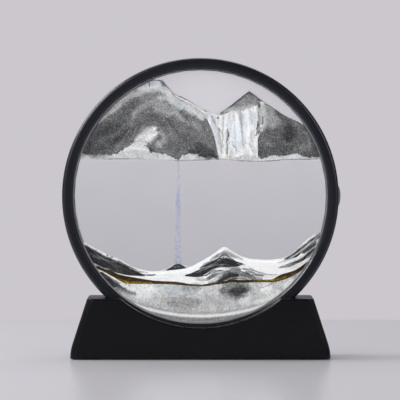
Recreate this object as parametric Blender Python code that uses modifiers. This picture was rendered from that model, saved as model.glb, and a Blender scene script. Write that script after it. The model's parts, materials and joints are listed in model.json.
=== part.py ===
"""Moving sand art frame: a round, liquid-filled sand picture that turns in a saddle stand.

Metres, +Z up, +Y away from the viewer. The origin is on the table under the middle of the stand.
The sand picture hangs on the empty "disc_axis", which lies on the axis that the disc turns about.
"""

import math

import bmesh
import bpy
from mathutils import Vector

MM = 0.001

# Fit between neighbouring solids
GAP = 0.3 * MM
CREASE_ANGLE = math.radians(35.0)
QUARTER_TURN = 90.0

# Round frame: two snap-together bezels of L section
RING_RADIUS = 90.0 * MM
RING_DEPTH = 24.0 * MM
RING_SEGMENTS = 72
HIDDEN_SEGMENTS = 48
BORE_SEGMENTS = 24
SCREW_SEGMENTS = 16
BEZEL_WALL = 2.4 * MM
LIP_WIDTH = 7.1 * MM
LIP_THICKNESS = 2.5 * MM
RING_EDGE_RADIUS = 2.0 * MM
LIP_EDGE_CHAMFER = 0.7 * MM
TONGUE_THICKNESS = 1.0 * MM
TONGUE_LENGTH = 1.8 * MM

# Sealed chamber between the panes
PANE_THICKNESS = 3.0 * MM
SEAL_THICKNESS = 0.6 * MM
SPACER_WIDTH = 5.1 * MM

# Refill plug at three o'clock
PLUG_BORE_RADIUS = 3.0 * MM
PLUG_HEAD_HEIGHT = 1.6 * MM
PLUG_HEAD_HALF_LENGTH = 7.6 * MM
PLUG_HEAD_HALF_WIDTH = 4.6 * MM
PLUG_HEAD_ROOT = 1.0 * MM

# Saddle stand, a hollow moulding
STAND_HEIGHT = 39.5 * MM
STAND_HALF_DEPTH = 24.0 * MM
STAND_TOP_HALF_WIDTH = 73.4 * MM
STAND_END_SLOPE = 0.325
STAND_KNEE_Z = 10.0 * MM
STAND_CORNER_RADIUS = 4.0 * MM
STAND_TOP_FILLET = 1.0 * MM
STAND_WALL = 2.5 * MM
GROOVE_FLOOR_Z = 15.0 * MM
GROOVE_CLEARANCE = 0.5 * MM
SADDLE_COVER = 5.2 * MM
SADDLE_ARC_INSET = 9.4 * MM
SADDLE_FILLET = 1.0 * MM
RIB_THICKNESS = 1.6 * MM
RIB_SPACING = 26.0 * MM

# Base plate, its screws and its feet
PLATE_Z = 0.8 * MM
PLATE_THICKNESS = 2.2 * MM
SCREW_X = 2.0 * RIB_SPACING
SCREW_Y = 11.0 * MM
SCREW_SHANK_RADIUS = 1.2 * MM
SCREW_HEAD_RADIUS = 2.4 * MM
SCREW_HEAD_HEIGHT = 1.1 * MM
SCREW_LENGTH = 11.0 * MM
BOSS_RADIUS = 3.4 * MM
FOOT_RADIUS = 6.0 * MM
FOOT_POCKET_DEPTH = 0.8 * MM
FOOT_INSET = 4.5 * MM

# Sand and liquid: how finely their solids follow the lines below
COLUMN_PITCH = 2.0 * MM
CREST_ROWS = 4
CREST_DROP = 1.6 * MM
THINNEST = 0.6 * MM
TRIM_STEP = 0.1 * MM
HEAP_MARGIN = 0.6 * MM

# Lines of the sand picture, as hand-set points (x, z) in millimetres from the disc's axis.
# They are drawn for a chamber of this radius, and follow the real one.
DRAWN_RADIUS = 82.65
BUBBLE_LINE = 22.6

# The fallen sand: its outline against the liquid, then the layers and dark bands under it
DUNE_RIDGE = [(-84, -26.4), (-61, -38.5), (-53.5, -41.5), (-42, -47.5), (-31, -49.5), (-22, -49),
              (-9.5, -47.5), (-0.5, -43.5), (8, -38.5), (16, -33.5), (20.5, -36), (26.5, -39.5),
              (35, -41.5), (45, -42), (53.5, -41), (60, -37.5), (68.5, -30), (75, -25), (84, -20.5)]
LEFT_DUNE_TOP = [(-80, -30.3), (-61, -40.2), (-53.5, -43.4), (-46, -46.8), (-41.5, -49.3), (-36.5, -51.4)]
LEFT_DUNE_UNDERSIDE = [(-80, -31.3), (-71, -43), (-64, -47), (-54, -50.5), (-46, -52), (-36.5, -52.4)]
PEAK_BAND_TOP = [(-10, -51.4), (-0.5, -48), (6, -45), (13, -41.5), (16.5, -40.5), (21.5, -42), (28, -44)]
PEAK_BAND_UNDERSIDE = [(-10, -52.5), (-3.5, -53), (2, -52.5), (7.5, -49.5), (12, -47.5), (20, -46.8),
                       (24.5, -46), (28, -45)]
SLOPE_BAND_TOP = [(51, -46), (58.5, -43.8), (65, -40.5), (70.5, -36.5), (80, -31)]
SLOPE_BAND_UNDERSIDE = [(51, -47), (58.5, -46), (64, -44), (67, -42.5), (70.5, -40), (80, -33)]
RIGHT_DUNE_UNDERSIDE = [(55, -42), (63, -40), (67, -36.5), (71.5, -33), (75, -29.5), (80, -26)]
LEFT_TROUGH_ROOF = [(-25, -51.9)]
LEFT_TROUGH_FLOOR = [(-25, -52.4)]
RIGHT_TROUGH_ROOF = [(40, -45.8)]
RIGHT_TROUGH_FLOOR = [(40, -46.3)]
CREST_UNDERSIDE = LEFT_DUNE_TOP + LEFT_TROUGH_ROOF + PEAK_BAND_TOP + RIGHT_TROUGH_ROOF + SLOPE_BAND_TOP
DRIFT_TOP = (LEFT_DUNE_UNDERSIDE + LEFT_TROUGH_FLOOR + PEAK_BAND_UNDERSIDE + RIGHT_TROUGH_FLOOR
             + SLOPE_BAND_UNDERSIDE)
HILL_TOP = [(5, -55.6), (11.5, -53.5), (16, -51), (20.5, -49.2), (26, -48.8), (30.5, -50), (34.5, -52),
            (41, -53.6)]
GOLD_TOP = [(-70, -46), (-59.5, -50), (-49.5, -53), (-43, -54.8), (-23.5, -55.5), (-13.5, -56.5),
            (-0.5, -58), (9, -56.5), (18.5, -55), (46, -54.5), (53, -52), (62.5, -48.5), (74, -41)]
GOLD_UNDERSIDE = [(-70, -47.5), (-56, -55.5), (-47, -59), (-41, -57.5), (-13.5, -58.5), (-0.5, -60),
                  (9, -58.5), (18.5, -57), (46, -56.5), (53, -56), (62.5, -51.5), (74, -43)]
HEAP_TOP = [(-22.5, -48), (-15.5, -44.5), (-8, -46.2)]

# The sand still held up on the bubbles
LEFT_MASS_RIDGE = [(-80, 30), (-46, 72), (-33, 76.5), (-25.5, 76), (-21, 71.5), (-17, 67), (-11, 64.5),
                   (-0.5, 57.5), (3, 53), (9, 39.5), (12, 25)]
LEFT_MASS_UNDERSIDE = [(-80, 28), (-59, 27), (-51, 30), (-48.5, 32.5), (-40.5, 33.5), (-34.5, 32),
                       (-33, 29), (-23.5, 27.5), (-14.5, 24), (-11.5, 27), (-7, 28), (-0.5, 27.5),
                       (3, 25), (12, 24)]
CURTAIN_TOP = [(0.8, 57.5), (6, 55), (12, 53.2), (18, 54.6), (20.5, 56.4), (26, 56.6), (32.5, 58.6),
               (37, 59.6)]
CURTAIN_UNDERSIDE = [(0.8, 57), (4.2, 53), (10.2, 39.5), (13.2, 25), (37, 25)]
PEAK_TOP = [(13, 54.6), (16, 56.7), (22.5, 61.5), (31, 68.2), (32, 68.8), (33, 68.2), (37.4, 65)]
PEAK_UNDERSIDE = [(13, 54.2), (18, 55.4), (20.5, 57.2), (26, 57.4), (32.5, 59.4), (37.4, 60.4)]
RIGHT_MASS_RIDGE = [(38.2, 64.2), (47.5, 58), (56, 52.5), (65.5, 48), (69, 45.5), (80, 30)]
RIGHT_MASS_UNDERSIDE = [(38.2, 26), (40.5, 24), (44, 25.5), (47.5, 27), (54.5, 26), (62.5, 28),
                        (68.5, 26), (80, 25.5)]

# Sizes that follow from the ones above
HALF_DEPTH = RING_DEPTH / 2.0
PANE_FRONT = HALF_DEPTH - LIP_THICKNESS - GAP
PANE_BACK = PANE_FRONT - PANE_THICKNESS
PANE_RADIUS = RING_RADIUS - BEZEL_WALL - GAP
LIP_RADIUS = RING_RADIUS - LIP_WIDTH
CHAMBER_RADIUS = PANE_RADIUS - SPACER_WIDTH
SEAL_BACK = PANE_BACK - GAP - SEAL_THICKNESS
SPACER_HALF_DEPTH = SEAL_BACK - GAP
FILL_RADIUS = CHAMBER_RADIUS - GAP
FILL_HALF_DEPTH = PANE_BACK - GAP
GROOVE_RADIUS = RING_RADIUS + GROOVE_CLEARANCE
GROOVE_HALF_WIDTH = HALF_DEPTH + GROOVE_CLEARANCE
RING_CENTRE_Z = GROOVE_FLOOR_Z + GROOVE_RADIUS
SADDLE_RADIUS = RING_RADIUS - SADDLE_ARC_INSET
SADDLE_CENTRE_Z = RING_CENTRE_Z - RING_RADIUS + SADDLE_COVER + SADDLE_RADIUS
PLATE_TOP = PLATE_Z + PLATE_THICKNESS
DRAWING_SCALE = CHAMBER_RADIUS / DRAWN_RADIUS
CUTTER_REACH = 20.0 * MM


def clear_scene():
    for old in list(bpy.data.objects):
        bpy.data.objects.remove(old, do_unlink=True)


def make_collection(name):
    collection = bpy.data.collections.new(name)
    bpy.context.scene.collection.children.link(collection)
    return collection


def make_material(name, colour, roughness, transmission=0.0):
    material = bpy.data.materials.new(name)
    material.use_nodes = True
    shader = material.node_tree.nodes["Principled BSDF"]
    shader.inputs["Base Color"].default_value = (*colour, 1.0)
    shader.inputs["Roughness"].default_value = roughness
    shader.inputs["Metallic"].default_value = 0.0
    shader.inputs["Transmission Weight"].default_value = transmission
    material.diffuse_color = (*colour, 1.0)
    return material


clear_scene()
PARTS = make_collection("moving_sand_art_frame")
CUTTERS = make_collection("cutters")

BLACK_PLASTIC = make_material("black_plastic", (0.012, 0.013, 0.016), 0.38)
PANE_GLASS = make_material("pane_glass", (0.93, 0.96, 0.97), 0.02, 1.0)
CLEAR_ACRYLIC = make_material("clear_acrylic", (0.90, 0.93, 0.94), 0.08, 1.0)
SEAL_SILICONE = make_material("seal_silicone", (0.55, 0.57, 0.60), 0.45)
PLUG_SILICONE = make_material("plug_silicone", (0.16, 0.14, 0.19), 0.55)
CLEAR_LIQUID = make_material("clear_liquid", (0.90, 0.93, 0.96), 0.0, 1.0)
WHITE_SAND = make_material("white_sand", (0.85, 0.86, 0.88), 0.75)
GOLD_SAND = make_material("gold_sand", (0.30, 0.19, 0.05), 0.55)
BLACK_SAND = make_material("black_sand", (0.07, 0.075, 0.08), 0.65)
FOOT_FOAM = make_material("foot_foam", (0.02, 0.02, 0.02), 0.9)
SCREW_STEEL = make_material("screw_steel", (0.30, 0.30, 0.31), 0.35)
SCREW_STEEL.node_tree.nodes["Principled BSDF"].inputs["Metallic"].default_value = 1.0


def add_empty(name, location, parent=None):
    empty = bpy.data.objects.new(name, None)
    empty.location = location
    empty.parent = parent
    PARTS.objects.link(empty)
    return empty


DISC_AXIS = add_empty("disc_axis", (0.0, 0.0, RING_CENTRE_Z))
PLUG_AXIS = add_empty("plug_axis", (RING_RADIUS, 0.0, 0.0), DISC_AXIS)


def add_piece(name, mesh, material, parent=None):
    piece = bpy.data.objects.new(name, mesh)
    piece.data.materials.append(material)
    piece.parent = parent
    PARTS.objects.link(piece)
    return piece


def add_cutter(name, mesh):
    cutter = bpy.data.objects.new(name, mesh)
    cutter.hide_render = True
    cutter.display_type = "WIRE"
    CUTTERS.objects.link(cutter)
    return cutter


def boolean(piece, other, operation="DIFFERENCE"):
    step = piece.modifiers.new(operation.lower() + "_" + other.name, "BOOLEAN")
    step.object = other
    step.operation = operation
    step.solver = "EXACT"


def mesh_from(form, name):
    mesh = bpy.data.meshes.new(name)
    bmesh.ops.recalc_face_normals(form, faces=form.faces)
    form.to_mesh(mesh)
    form.free()
    return mesh


def settle(piece):
    """Apply the modifiers, so that round faces can be shaded smooth up to the crease angle."""
    bpy.context.view_layer.update()
    graph = bpy.context.evaluated_depsgraph_get()
    shape = bpy.data.meshes.new_from_object(piece.evaluated_get(graph))
    piece.modifiers.clear()
    piece.data = shape
    shape.shade_smooth()
    shape.set_sharp_from_angle(angle=CREASE_ANGLE)


def arc_points(centre, radius, start, end, steps):
    """Points on an arc from one angle to another, in degrees."""
    points = []
    for step in range(steps + 1):
        angle = math.radians(start + (end - start) * step / steps)
        points.append((centre[0] + radius * math.cos(angle), centre[1] + radius * math.sin(angle)))
    return points


def turned_mesh(name, section, segments=RING_SEGMENTS):
    """Turn a closed section of (radius, depth) points about Z; the outer side runs top to bottom."""
    mesh = bpy.data.meshes.new(name + "_section")
    count = len(section)
    mesh.from_pydata([(radius, 0.0, depth) for radius, depth in section],
                     [(index, (index + 1) % count) for index in range(count)], [])
    lathe = bpy.data.objects.new(name + "_lathe", mesh)
    CUTTERS.objects.link(lathe)
    turn = lathe.modifiers.new("turn", "SCREW")
    turn.steps = segments
    turn.render_steps = segments
    turn.use_merge_vertices = True
    turn.merge_threshold = 0.00001
    settle(lathe)
    shape = lathe.data
    bpy.data.objects.remove(lathe)
    return shape


def turned(name, section, material, segments=RING_SEGMENTS):
    """A turned piece of the disc: its turning axis lies along Y, and depth grows away from the viewer."""
    piece = add_piece(name, turned_mesh(name, section, segments), material, DISC_AXIS)
    piece.rotation_euler = (-math.pi / 2.0, 0.0, 0.0)
    return piece


def turned_cutter(name, section, height, segments):
    """A turned cutter about an axis along Y, through a point at this height."""
    cutter = add_cutter(name, turned_mesh(name, section, segments))
    cutter.rotation_euler = (-math.pi / 2.0, 0.0, 0.0)
    cutter.location.z = height
    return cutter


def solid_disc_mesh(name, radius, half_depth, segments=RING_SEGMENTS):
    """A round plate about Z, centred on its own origin."""
    form = bmesh.new()
    bmesh.ops.create_cone(form, cap_ends=True, segments=segments, radius1=radius, radius2=radius,
                          depth=2.0 * half_depth)
    return mesh_from(form, name)


def bore_cutter(name, radius, start, end, axis="Z", segments=BORE_SEGMENTS):
    """A round cutter from one point to another along X or Z."""
    form = bmesh.new()
    bmesh.ops.create_cone(form, cap_ends=True, segments=segments, radius1=radius, radius2=radius,
                          depth=(Vector(end) - Vector(start)).length)
    cutter = add_cutter(name, mesh_from(form, name))
    cutter.location = (Vector(start) + Vector(end)) / 2.0
    if axis == "X":
        cutter.rotation_euler = (0.0, math.pi / 2.0, 0.0)
    return cutter


def box_cutter(name, low, high):
    form = bmesh.new()
    bmesh.ops.create_cube(form, size=1.0)
    for vertex in form.verts:
        for axis in range(3):
            vertex.co[axis] = low[axis] + (vertex.co[axis] + 0.5) * (high[axis] - low[axis])
    return add_cutter(name, mesh_from(form, name))


# Round frame


def bezel_section(tongue):
    """Half of the frame behind its lip, in (radius, depth); the lip is at depth -HALF_DEPTH."""
    wall_inside = RING_RADIUS - BEZEL_WALL
    parting = -GAP / 2.0
    if tongue:
        tongue_tip = TONGUE_LENGTH - GAP
        joint = [(wall_inside + TONGUE_THICKNESS, parting), (wall_inside + TONGUE_THICKNESS, tongue_tip),
                 (wall_inside, tongue_tip)]
    else:
        rebate = wall_inside + TONGUE_THICKNESS + GAP
        joint = [(rebate, parting), (rebate, -TONGUE_LENGTH), (wall_inside, -TONGUE_LENGTH)]
    inside_corner = [(wall_inside, LIP_THICKNESS - HALF_DEPTH), (LIP_RADIUS, LIP_THICKNESS - HALF_DEPTH)]
    lip_edge = [(LIP_RADIUS, LIP_EDGE_CHAMFER - HALF_DEPTH), (LIP_RADIUS + LIP_EDGE_CHAMFER, -HALF_DEPTH)]
    corner = (RING_RADIUS - RING_EDGE_RADIUS, RING_EDGE_RADIUS - HALF_DEPTH)
    outer_edge = arc_points(corner, RING_EDGE_RADIUS, -90.0, 0.0, 3)
    return [(RING_RADIUS, parting)] + joint + inside_corner + lip_edge + outer_edge


def mirrored(section):
    """The same section seen from behind, in the opposite running order."""
    return [(radius, -depth) for radius, depth in reversed(section)]


def make_bezels():
    front = turned("front_bezel", list(reversed(bezel_section(tongue=True))), BLACK_PLASTIC)
    rear = turned("rear_bezel", list(reversed(mirrored(bezel_section(tongue=False)))), BLACK_PLASTIC)
    return front, rear


def plate_section(radius, near, far, inner=0.0):
    return [(radius, far), (radius, near), (inner, near), (inner, far)]


def make_chamber_walls():
    """Two panes, two seals against them, and the clear spacer ring between the seals."""
    for name, sign in (("front_pane", -1.0), ("rear_pane", 1.0)):
        disc = solid_disc_mesh(name, PANE_RADIUS, PANE_THICKNESS / 2.0)
        pane = add_piece(name, disc, PANE_GLASS, DISC_AXIS)
        pane.rotation_euler = (-math.pi / 2.0, 0.0, 0.0)
        pane.location.y = sign * (PANE_FRONT + PANE_BACK) / 2.0
        settle(pane)
    front_seal = plate_section(PANE_RADIUS, GAP - PANE_BACK, -SEAL_BACK, CHAMBER_RADIUS)
    turned("front_seal", front_seal, SEAL_SILICONE, HIDDEN_SEGMENTS)
    rear_seal = plate_section(PANE_RADIUS, SEAL_BACK, PANE_BACK - GAP, CHAMBER_RADIUS)
    turned("rear_seal", rear_seal, SEAL_SILICONE, HIDDEN_SEGMENTS)
    spacer = plate_section(PANE_RADIUS, -SPACER_HALF_DEPTH, SPACER_HALF_DEPTH, CHAMBER_RADIUS)
    return turned("spacer_ring", spacer, CLEAR_ACRYLIC)


def bore_plug_hole(pieces):
    """The refill hole runs in from three o'clock through the bezels' joint and the spacer."""
    start = (CHAMBER_RADIUS - PLUG_BORE_RADIUS, 0.0, RING_CENTRE_Z)
    end = (RING_RADIUS + CUTTER_REACH, 0.0, RING_CENTRE_Z)
    bore = bore_cutter("refill_bore", PLUG_BORE_RADIUS, start, end, axis="X")
    for piece in pieces:
        boolean(piece, bore)


def make_fill_plug():
    """Silicone plug: a low oval dome on the rim, and a shank that fills the hole."""
    form = bmesh.new()
    bmesh.ops.create_uvsphere(form, u_segments=BORE_SEGMENTS, v_segments=BORE_SEGMENTS // 2, radius=1.0)
    for vertex in form.verts:
        vertex.co.x = vertex.co.x * (PLUG_HEAD_HEIGHT + PLUG_HEAD_ROOT) - PLUG_HEAD_ROOT
        vertex.co.y *= PLUG_HEAD_HALF_WIDTH
        vertex.co.z *= PLUG_HEAD_HALF_LENGTH
    plug = add_piece("fill_plug", mesh_from(form, "fill_plug"), PLUG_SILICONE, PLUG_AXIS)

    rim = plate_section(RING_RADIUS + GAP, -HALF_DEPTH, HALF_DEPTH, LIP_RADIUS)
    boolean(plug, turned_cutter("rim_under_plug", rim, RING_CENTRE_Z, 2 * RING_SEGMENTS))

    shank_start = (CHAMBER_RADIUS + GAP, 0.0, RING_CENTRE_Z)
    shank_end = (RING_RADIUS + PLUG_HEAD_HEIGHT / 2.0, 0.0, RING_CENTRE_Z)
    shank = bore_cutter("plug_shank", PLUG_BORE_RADIUS - GAP, shank_start, shank_end, axis="X")
    boolean(plug, shank, "UNION")


# Sand and liquid


def line_slopes(points):
    """Slopes at the points of a line that never swings past a point: flat at tops and bottoms."""
    steps = [(right[1] - left[1]) / (right[0] - left[0]) for left, right in zip(points, points[1:])]
    slopes = [steps[0]]
    for before, after in zip(steps, steps[1:]):
        level = before * after <= 0.0
        slopes.append(0.0 if level else 2.0 * before * after / (before + after))
    slopes.append(steps[-1])
    return slopes


def smooth_line(drawn):
    """A function that gives the height in metres of a smooth line through drawn points."""
    points = [(x * DRAWING_SCALE, z * DRAWING_SCALE) for x, z in drawn]
    slopes = line_slopes(points)

    def height(x):
        x = min(max(x, points[0][0]), points[-1][0])
        index = 0
        while index < len(points) - 2 and x > points[index + 1][0]:
            index += 1
        (x0, z0), (x1, z1) = points[index], points[index + 1]
        span = x1 - x0
        t = (x - x0) / span
        start = (1.0 + 2.0 * t) * (1.0 - t) ** 2 * z0 + t * (1.0 - t) ** 2 * span * slopes[index]
        end = t * t * (3.0 - 2.0 * t) * z1 + t * t * (t - 1.0) * span * slopes[index + 1]
        return start + end

    return height


def drawn_ends(drawn):
    return drawn[0][0] * DRAWING_SCALE, drawn[-1][0] * DRAWING_SCALE


def over_lines(*drawn_lines):
    """The outline just above several drawn lines, each where it runs."""
    runs = [(*drawn_ends(drawn), smooth_line(drawn)) for drawn in drawn_lines]

    def height(x):
        heights = [line(x) for left, right, line in runs if left - COLUMN_PITCH < x < right + COLUMN_PITCH]
        return max(heights) + 2.0 * GAP

    return height


def wall_height(x):
    """Height of the chamber's round wall above the disc's axis."""
    return math.sqrt(max(FILL_RADIUS ** 2 - x * x, 0.0))


def wall_below(x):
    return -wall_height(x)


def raised(line, by):
    return lambda x: line(x) + by


def column_places(left, right):
    """Columns on one grid for all layers, so that neighbours keep their gap, and one at each end."""
    first = math.ceil((left + THINNEST) / COLUMN_PITCH)
    last = math.floor((right - THINNEST) / COLUMN_PITCH)
    return [left] + [index * COLUMN_PITCH for index in range(first, last + 1)] + [right]


def stratum(name, ends, floor, roof, material, crest=0.0, depth=None):
    """Fill the chamber between a floor line and a roof line, from pane to pane or over a given depth.

    The ends are trimmed to where the layer is thick enough to be a solid. A crest rounds the roof
    down towards both panes.
    """
    def low_at(x):
        return max(floor(x), wall_below(x))

    def high_at(x):
        return min(roof(x), wall_height(x))

    left, right = ends
    while high_at(left) - low_at(left) < THINNEST:
        left += TRIM_STEP
    while high_at(right) - low_at(right) < THINNEST:
        right -= TRIM_STEP

    near, far = depth or (-FILL_HALF_DEPTH, FILL_HALF_DEPTH)
    rows = CREST_ROWS if crest else 2
    depths = [near + (far - near) * row / (rows - 1) for row in range(rows)]
    form = bmesh.new()
    tops = []
    bottoms = []
    for x in column_places(left, right):
        low = low_at(x)
        high = high_at(x)
        tops.append([])
        for y in depths:
            fall = crest * (2.0 * (y - near) / (far - near) - 1.0) ** 2
            tops[-1].append(form.verts.new((x, y, max(high - fall, low + THINNEST / 2.0))))
        bottoms.append([form.verts.new((x, y, low)) for y in (near, far)])
    for top, next_top, low, next_low in zip(tops, tops[1:], bottoms, bottoms[1:]):
        for row in range(rows - 1):
            form.faces.new((top[row], next_top[row], next_top[row + 1], top[row + 1]))
        form.faces.new((low[0], low[1], next_low[1], next_low[0]))
        form.faces.new((top[0], low[0], next_low[0], next_top[0]))
        form.faces.new((top[-1], next_top[-1], next_low[1], low[1]))
    form.faces.new(tops[0] + [bottoms[0][1], bottoms[0][0]])
    form.faces.new(tops[-1][::-1] + [bottoms[-1][0], bottoms[-1][1]])
    piece = add_piece(name, mesh_from(form, name), material, DISC_AXIS)
    settle(piece)
    return piece


def make_fallen_sand():
    ridge = smooth_line(DUNE_RIDGE)
    crest_underside = smooth_line(CREST_UNDERSIDE)
    drift_top = smooth_line(DRIFT_TOP)
    right_underside = smooth_line(RIGHT_DUNE_UNDERSIDE)
    gold_top = smooth_line(GOLD_TOP)
    gold_underside = smooth_line(GOLD_UNDERSIDE)
    hill_top = smooth_line(HILL_TOP)
    across = (-FILL_RADIUS, FILL_RADIUS)
    hill_left, hill_right = drawn_ends(HILL_TOP)
    right_tip = drawn_ends(RIGHT_DUNE_UNDERSIDE)[0]
    tip_margin = COLUMN_PITCH + THINNEST

    def crest_roof(x):
        """The pale crest is open to the liquid, up to where the right-hand dune covers it."""
        if x < right_tip - tip_margin:
            return ridge(x)
        return min(ridge(x), right_underside(x) - GAP)

    def drift_floor(x):
        if hill_left - tip_margin < x < hill_right + tip_margin:
            return max(gold_top(x), hill_top(x)) + GAP
        return gold_top(x) + GAP

    stratum("white_bed", across, wall_below, raised(gold_underside, -GAP), WHITE_SAND)
    stratum("gold_layer", across, gold_underside, gold_top, GOLD_SAND)
    stratum("near_hill", (hill_left, hill_right), raised(gold_top, GAP), hill_top, BLACK_SAND)
    stratum("white_drift", across, drift_floor, raised(drift_top, -GAP), WHITE_SAND)
    bands = {"left_dune": LEFT_DUNE_TOP, "peak_band": PEAK_BAND_TOP, "slope_band": SLOPE_BAND_TOP}
    for name, band in bands.items():
        stratum(name, drawn_ends(band), drift_top, crest_underside, BLACK_SAND)
    stratum("white_crest", across, raised(crest_underside, GAP), crest_roof, WHITE_SAND, crest=CREST_DROP)
    stratum("right_dune", (right_tip, FILL_RADIUS), right_underside, ridge, BLACK_SAND, crest=CREST_DROP)
    stratum("fallen_heap", drawn_ends(HEAP_TOP), raised(ridge, GAP), smooth_line(HEAP_TOP), BLACK_SAND,
            crest=CREST_DROP, depth=(HEAP_MARGIN, FILL_HALF_DEPTH - HEAP_MARGIN))


def make_held_sand():
    layers = (("held_left_sand", LEFT_MASS_RIDGE, LEFT_MASS_UNDERSIDE, BLACK_SAND, CREST_DROP),
              ("held_curtain", CURTAIN_TOP, CURTAIN_UNDERSIDE, WHITE_SAND, 0.0),
              ("held_peak", PEAK_TOP, PEAK_UNDERSIDE, BLACK_SAND, CREST_DROP / 2.0),
              ("held_right_sand", RIGHT_MASS_RIDGE, RIGHT_MASS_UNDERSIDE, BLACK_SAND, CREST_DROP))
    for name, top, underside, material, crest in layers:
        stratum(name, drawn_ends(top), smooth_line(underside), smooth_line(top), material, crest)


def make_liquid():
    """Clear liquid fills the room between the fallen sand and the bubbles, and over the held sand."""
    def bubble_line(x):
        return BUBBLE_LINE * DRAWING_SCALE

    across = (-FILL_RADIUS, FILL_RADIUS)
    stratum("liquid_below", across, over_lines(DUNE_RIDGE, HEAP_TOP), bubble_line, CLEAR_LIQUID)
    over_held = (drawn_ends(LEFT_MASS_RIDGE)[0], drawn_ends(RIGHT_MASS_RIDGE)[1])
    held_tops = over_lines(LEFT_MASS_RIDGE, CURTAIN_TOP, PEAK_TOP, RIGHT_MASS_RIDGE)
    stratum("liquid_above", over_held, held_tops, wall_height, CLEAR_LIQUID)


# Stand


def end_half_width(z):
    """Half-width of the stand: slanted ends that turn upright at the table."""
    sine = STAND_END_SLOPE / math.sqrt(1.0 + STAND_END_SLOPE ** 2)
    knee_radius = (STAND_KNEE_Z - PLATE_Z) / sine
    at_knee = STAND_TOP_HALF_WIDTH + (STAND_HEIGHT - STAND_KNEE_Z) * STAND_END_SLOPE
    if z >= STAND_KNEE_Z:
        return STAND_TOP_HALF_WIDTH + (STAND_HEIGHT - z) * STAND_END_SLOPE
    rise = max(z - PLATE_Z, 0.0)
    return at_knee + math.sqrt(knee_radius ** 2 - rise ** 2) - knee_radius * math.sqrt(1.0 - sine ** 2)


def lofted_block(name, levels, corner_steps=5):
    """Skin rounded rectangles (z, half width, half depth, corner radius), from the bottom up."""
    form = bmesh.new()
    rings = []
    for z, half_width, half_depth, corner in levels:
        ring = []
        for quarter, (side_x, side_y) in enumerate(((1, 1), (-1, 1), (-1, -1), (1, -1))):
            centre = (side_x * (half_width - corner), side_y * (half_depth - corner))
            turned_to = QUARTER_TURN * quarter
            for x, y in arc_points(centre, corner, turned_to, turned_to + QUARTER_TURN, corner_steps):
                ring.append(form.verts.new((x, y, z)))
        rings.append(ring)
    count = len(rings[0])
    for lower, upper in zip(rings, rings[1:]):
        for index in range(count):
            following = (index + 1) % count
            form.faces.new((lower[index], lower[following], upper[following], upper[index]))
    form.faces.new(reversed(rings[0]))
    form.faces.new(rings[-1])
    return mesh_from(form, name)


def outer_levels():
    """Rounded rectangles of the stand's outside, with a fillet round its top."""
    knee_levels = [PLATE_Z + (STAND_KNEE_Z - PLATE_Z) * step / 4.0 for step in range(5)]
    levels = [(z, end_half_width(z), STAND_HALF_DEPTH, STAND_CORNER_RADIUS) for z in knee_levels]
    fillet_z = STAND_HEIGHT - STAND_TOP_FILLET
    for inset, rise in arc_points((0.0, 0.0), STAND_TOP_FILLET, 0.0, 90.0, 3):
        shrink = STAND_TOP_FILLET - inset
        levels.append((fillet_z + rise, end_half_width(fillet_z) - shrink, STAND_HALF_DEPTH - shrink,
                       STAND_CORNER_RADIUS - shrink))
    return levels


def inner_levels():
    """The same outside, moved in by the wall, from below the base up to under the top."""
    corner = STAND_CORNER_RADIUS - STAND_WALL
    depth = STAND_HALF_DEPTH - STAND_WALL
    heights = [PLATE_Z, STAND_KNEE_Z, STAND_HEIGHT - STAND_WALL]
    levels = [(z, end_half_width(z) - STAND_WALL, depth, corner) for z in heights]
    levels.insert(0, (-PLATE_Z, levels[0][1], depth, corner))
    return levels


def saddle_section():
    """Section of the saddle cutter, flared to leave a fillet along both walls' arcs."""
    half = STAND_HALF_DEPTH
    fillet_centre = (half - SADDLE_FILLET, SADDLE_RADIUS + SADDLE_FILLET)
    flare = [(radius, depth) for depth, radius in arc_points(fillet_centre, SADDLE_FILLET, -90.0, 0.0, 3)]
    side = flare + [(SADDLE_RADIUS + SADDLE_FILLET, half + CUTTER_REACH)]
    far_side = list(reversed(side))
    near_side = [(radius, -depth) for radius, depth in side]
    inner = SADDLE_RADIUS / 2.0
    return far_side + near_side + [(inner, -half - CUTTER_REACH), (inner, half + CUTTER_REACH)]


def make_cavity_cutter():
    """The hollow under the stand: the inside of its walls, less the saddle, the groove, ribs and bosses."""
    cavity = add_cutter("cavity", lofted_block("cavity", inner_levels(), 2))
    reach = STAND_HALF_DEPTH + CUTTER_REACH
    core = SADDLE_RADIUS / 2.0
    saddle_wall = plate_section(SADDLE_RADIUS + STAND_WALL, -reach, reach, core)
    boolean(cavity, turned_cutter("saddle_wall", saddle_wall, SADDLE_CENTRE_Z, HIDDEN_SEGMENTS))
    groove_side = GROOVE_HALF_WIDTH + STAND_WALL
    groove_wall = plate_section(GROOVE_RADIUS + STAND_WALL, -groove_side, groove_side, core)
    boolean(cavity, turned_cutter("groove_wall", groove_wall, RING_CENTRE_Z, HIDDEN_SEGMENTS))
    for index in range(-2, 3):
        x = index * RIB_SPACING
        rib = box_cutter("rib_%d" % (index + 3), (x - RIB_THICKNESS / 2.0, -reach, PLATE_TOP + GAP),
                         (x + RIB_THICKNESS / 2.0, reach, STAND_HEIGHT))
        boolean(cavity, rib)
    for index, (x, y) in enumerate(screw_places()):
        foot = (x, y, PLATE_TOP + GAP)
        head = (x, y, STAND_HEIGHT)
        boolean(cavity, bore_cutter("boss_%d" % (index + 1), BOSS_RADIUS, foot, head))
    settle(cavity)
    return cavity


def screw_places():
    return [(side_x * SCREW_X, side_y * SCREW_Y) for side_y in (-1, 1) for side_x in (-1, 1)]


def plate_size():
    """Half width, half depth and corner radius of the base plate inside the stand's walls."""
    inset = STAND_WALL + GAP
    return end_half_width(PLATE_TOP) - inset, STAND_HALF_DEPTH - inset, STAND_CORNER_RADIUS - STAND_WALL


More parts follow.
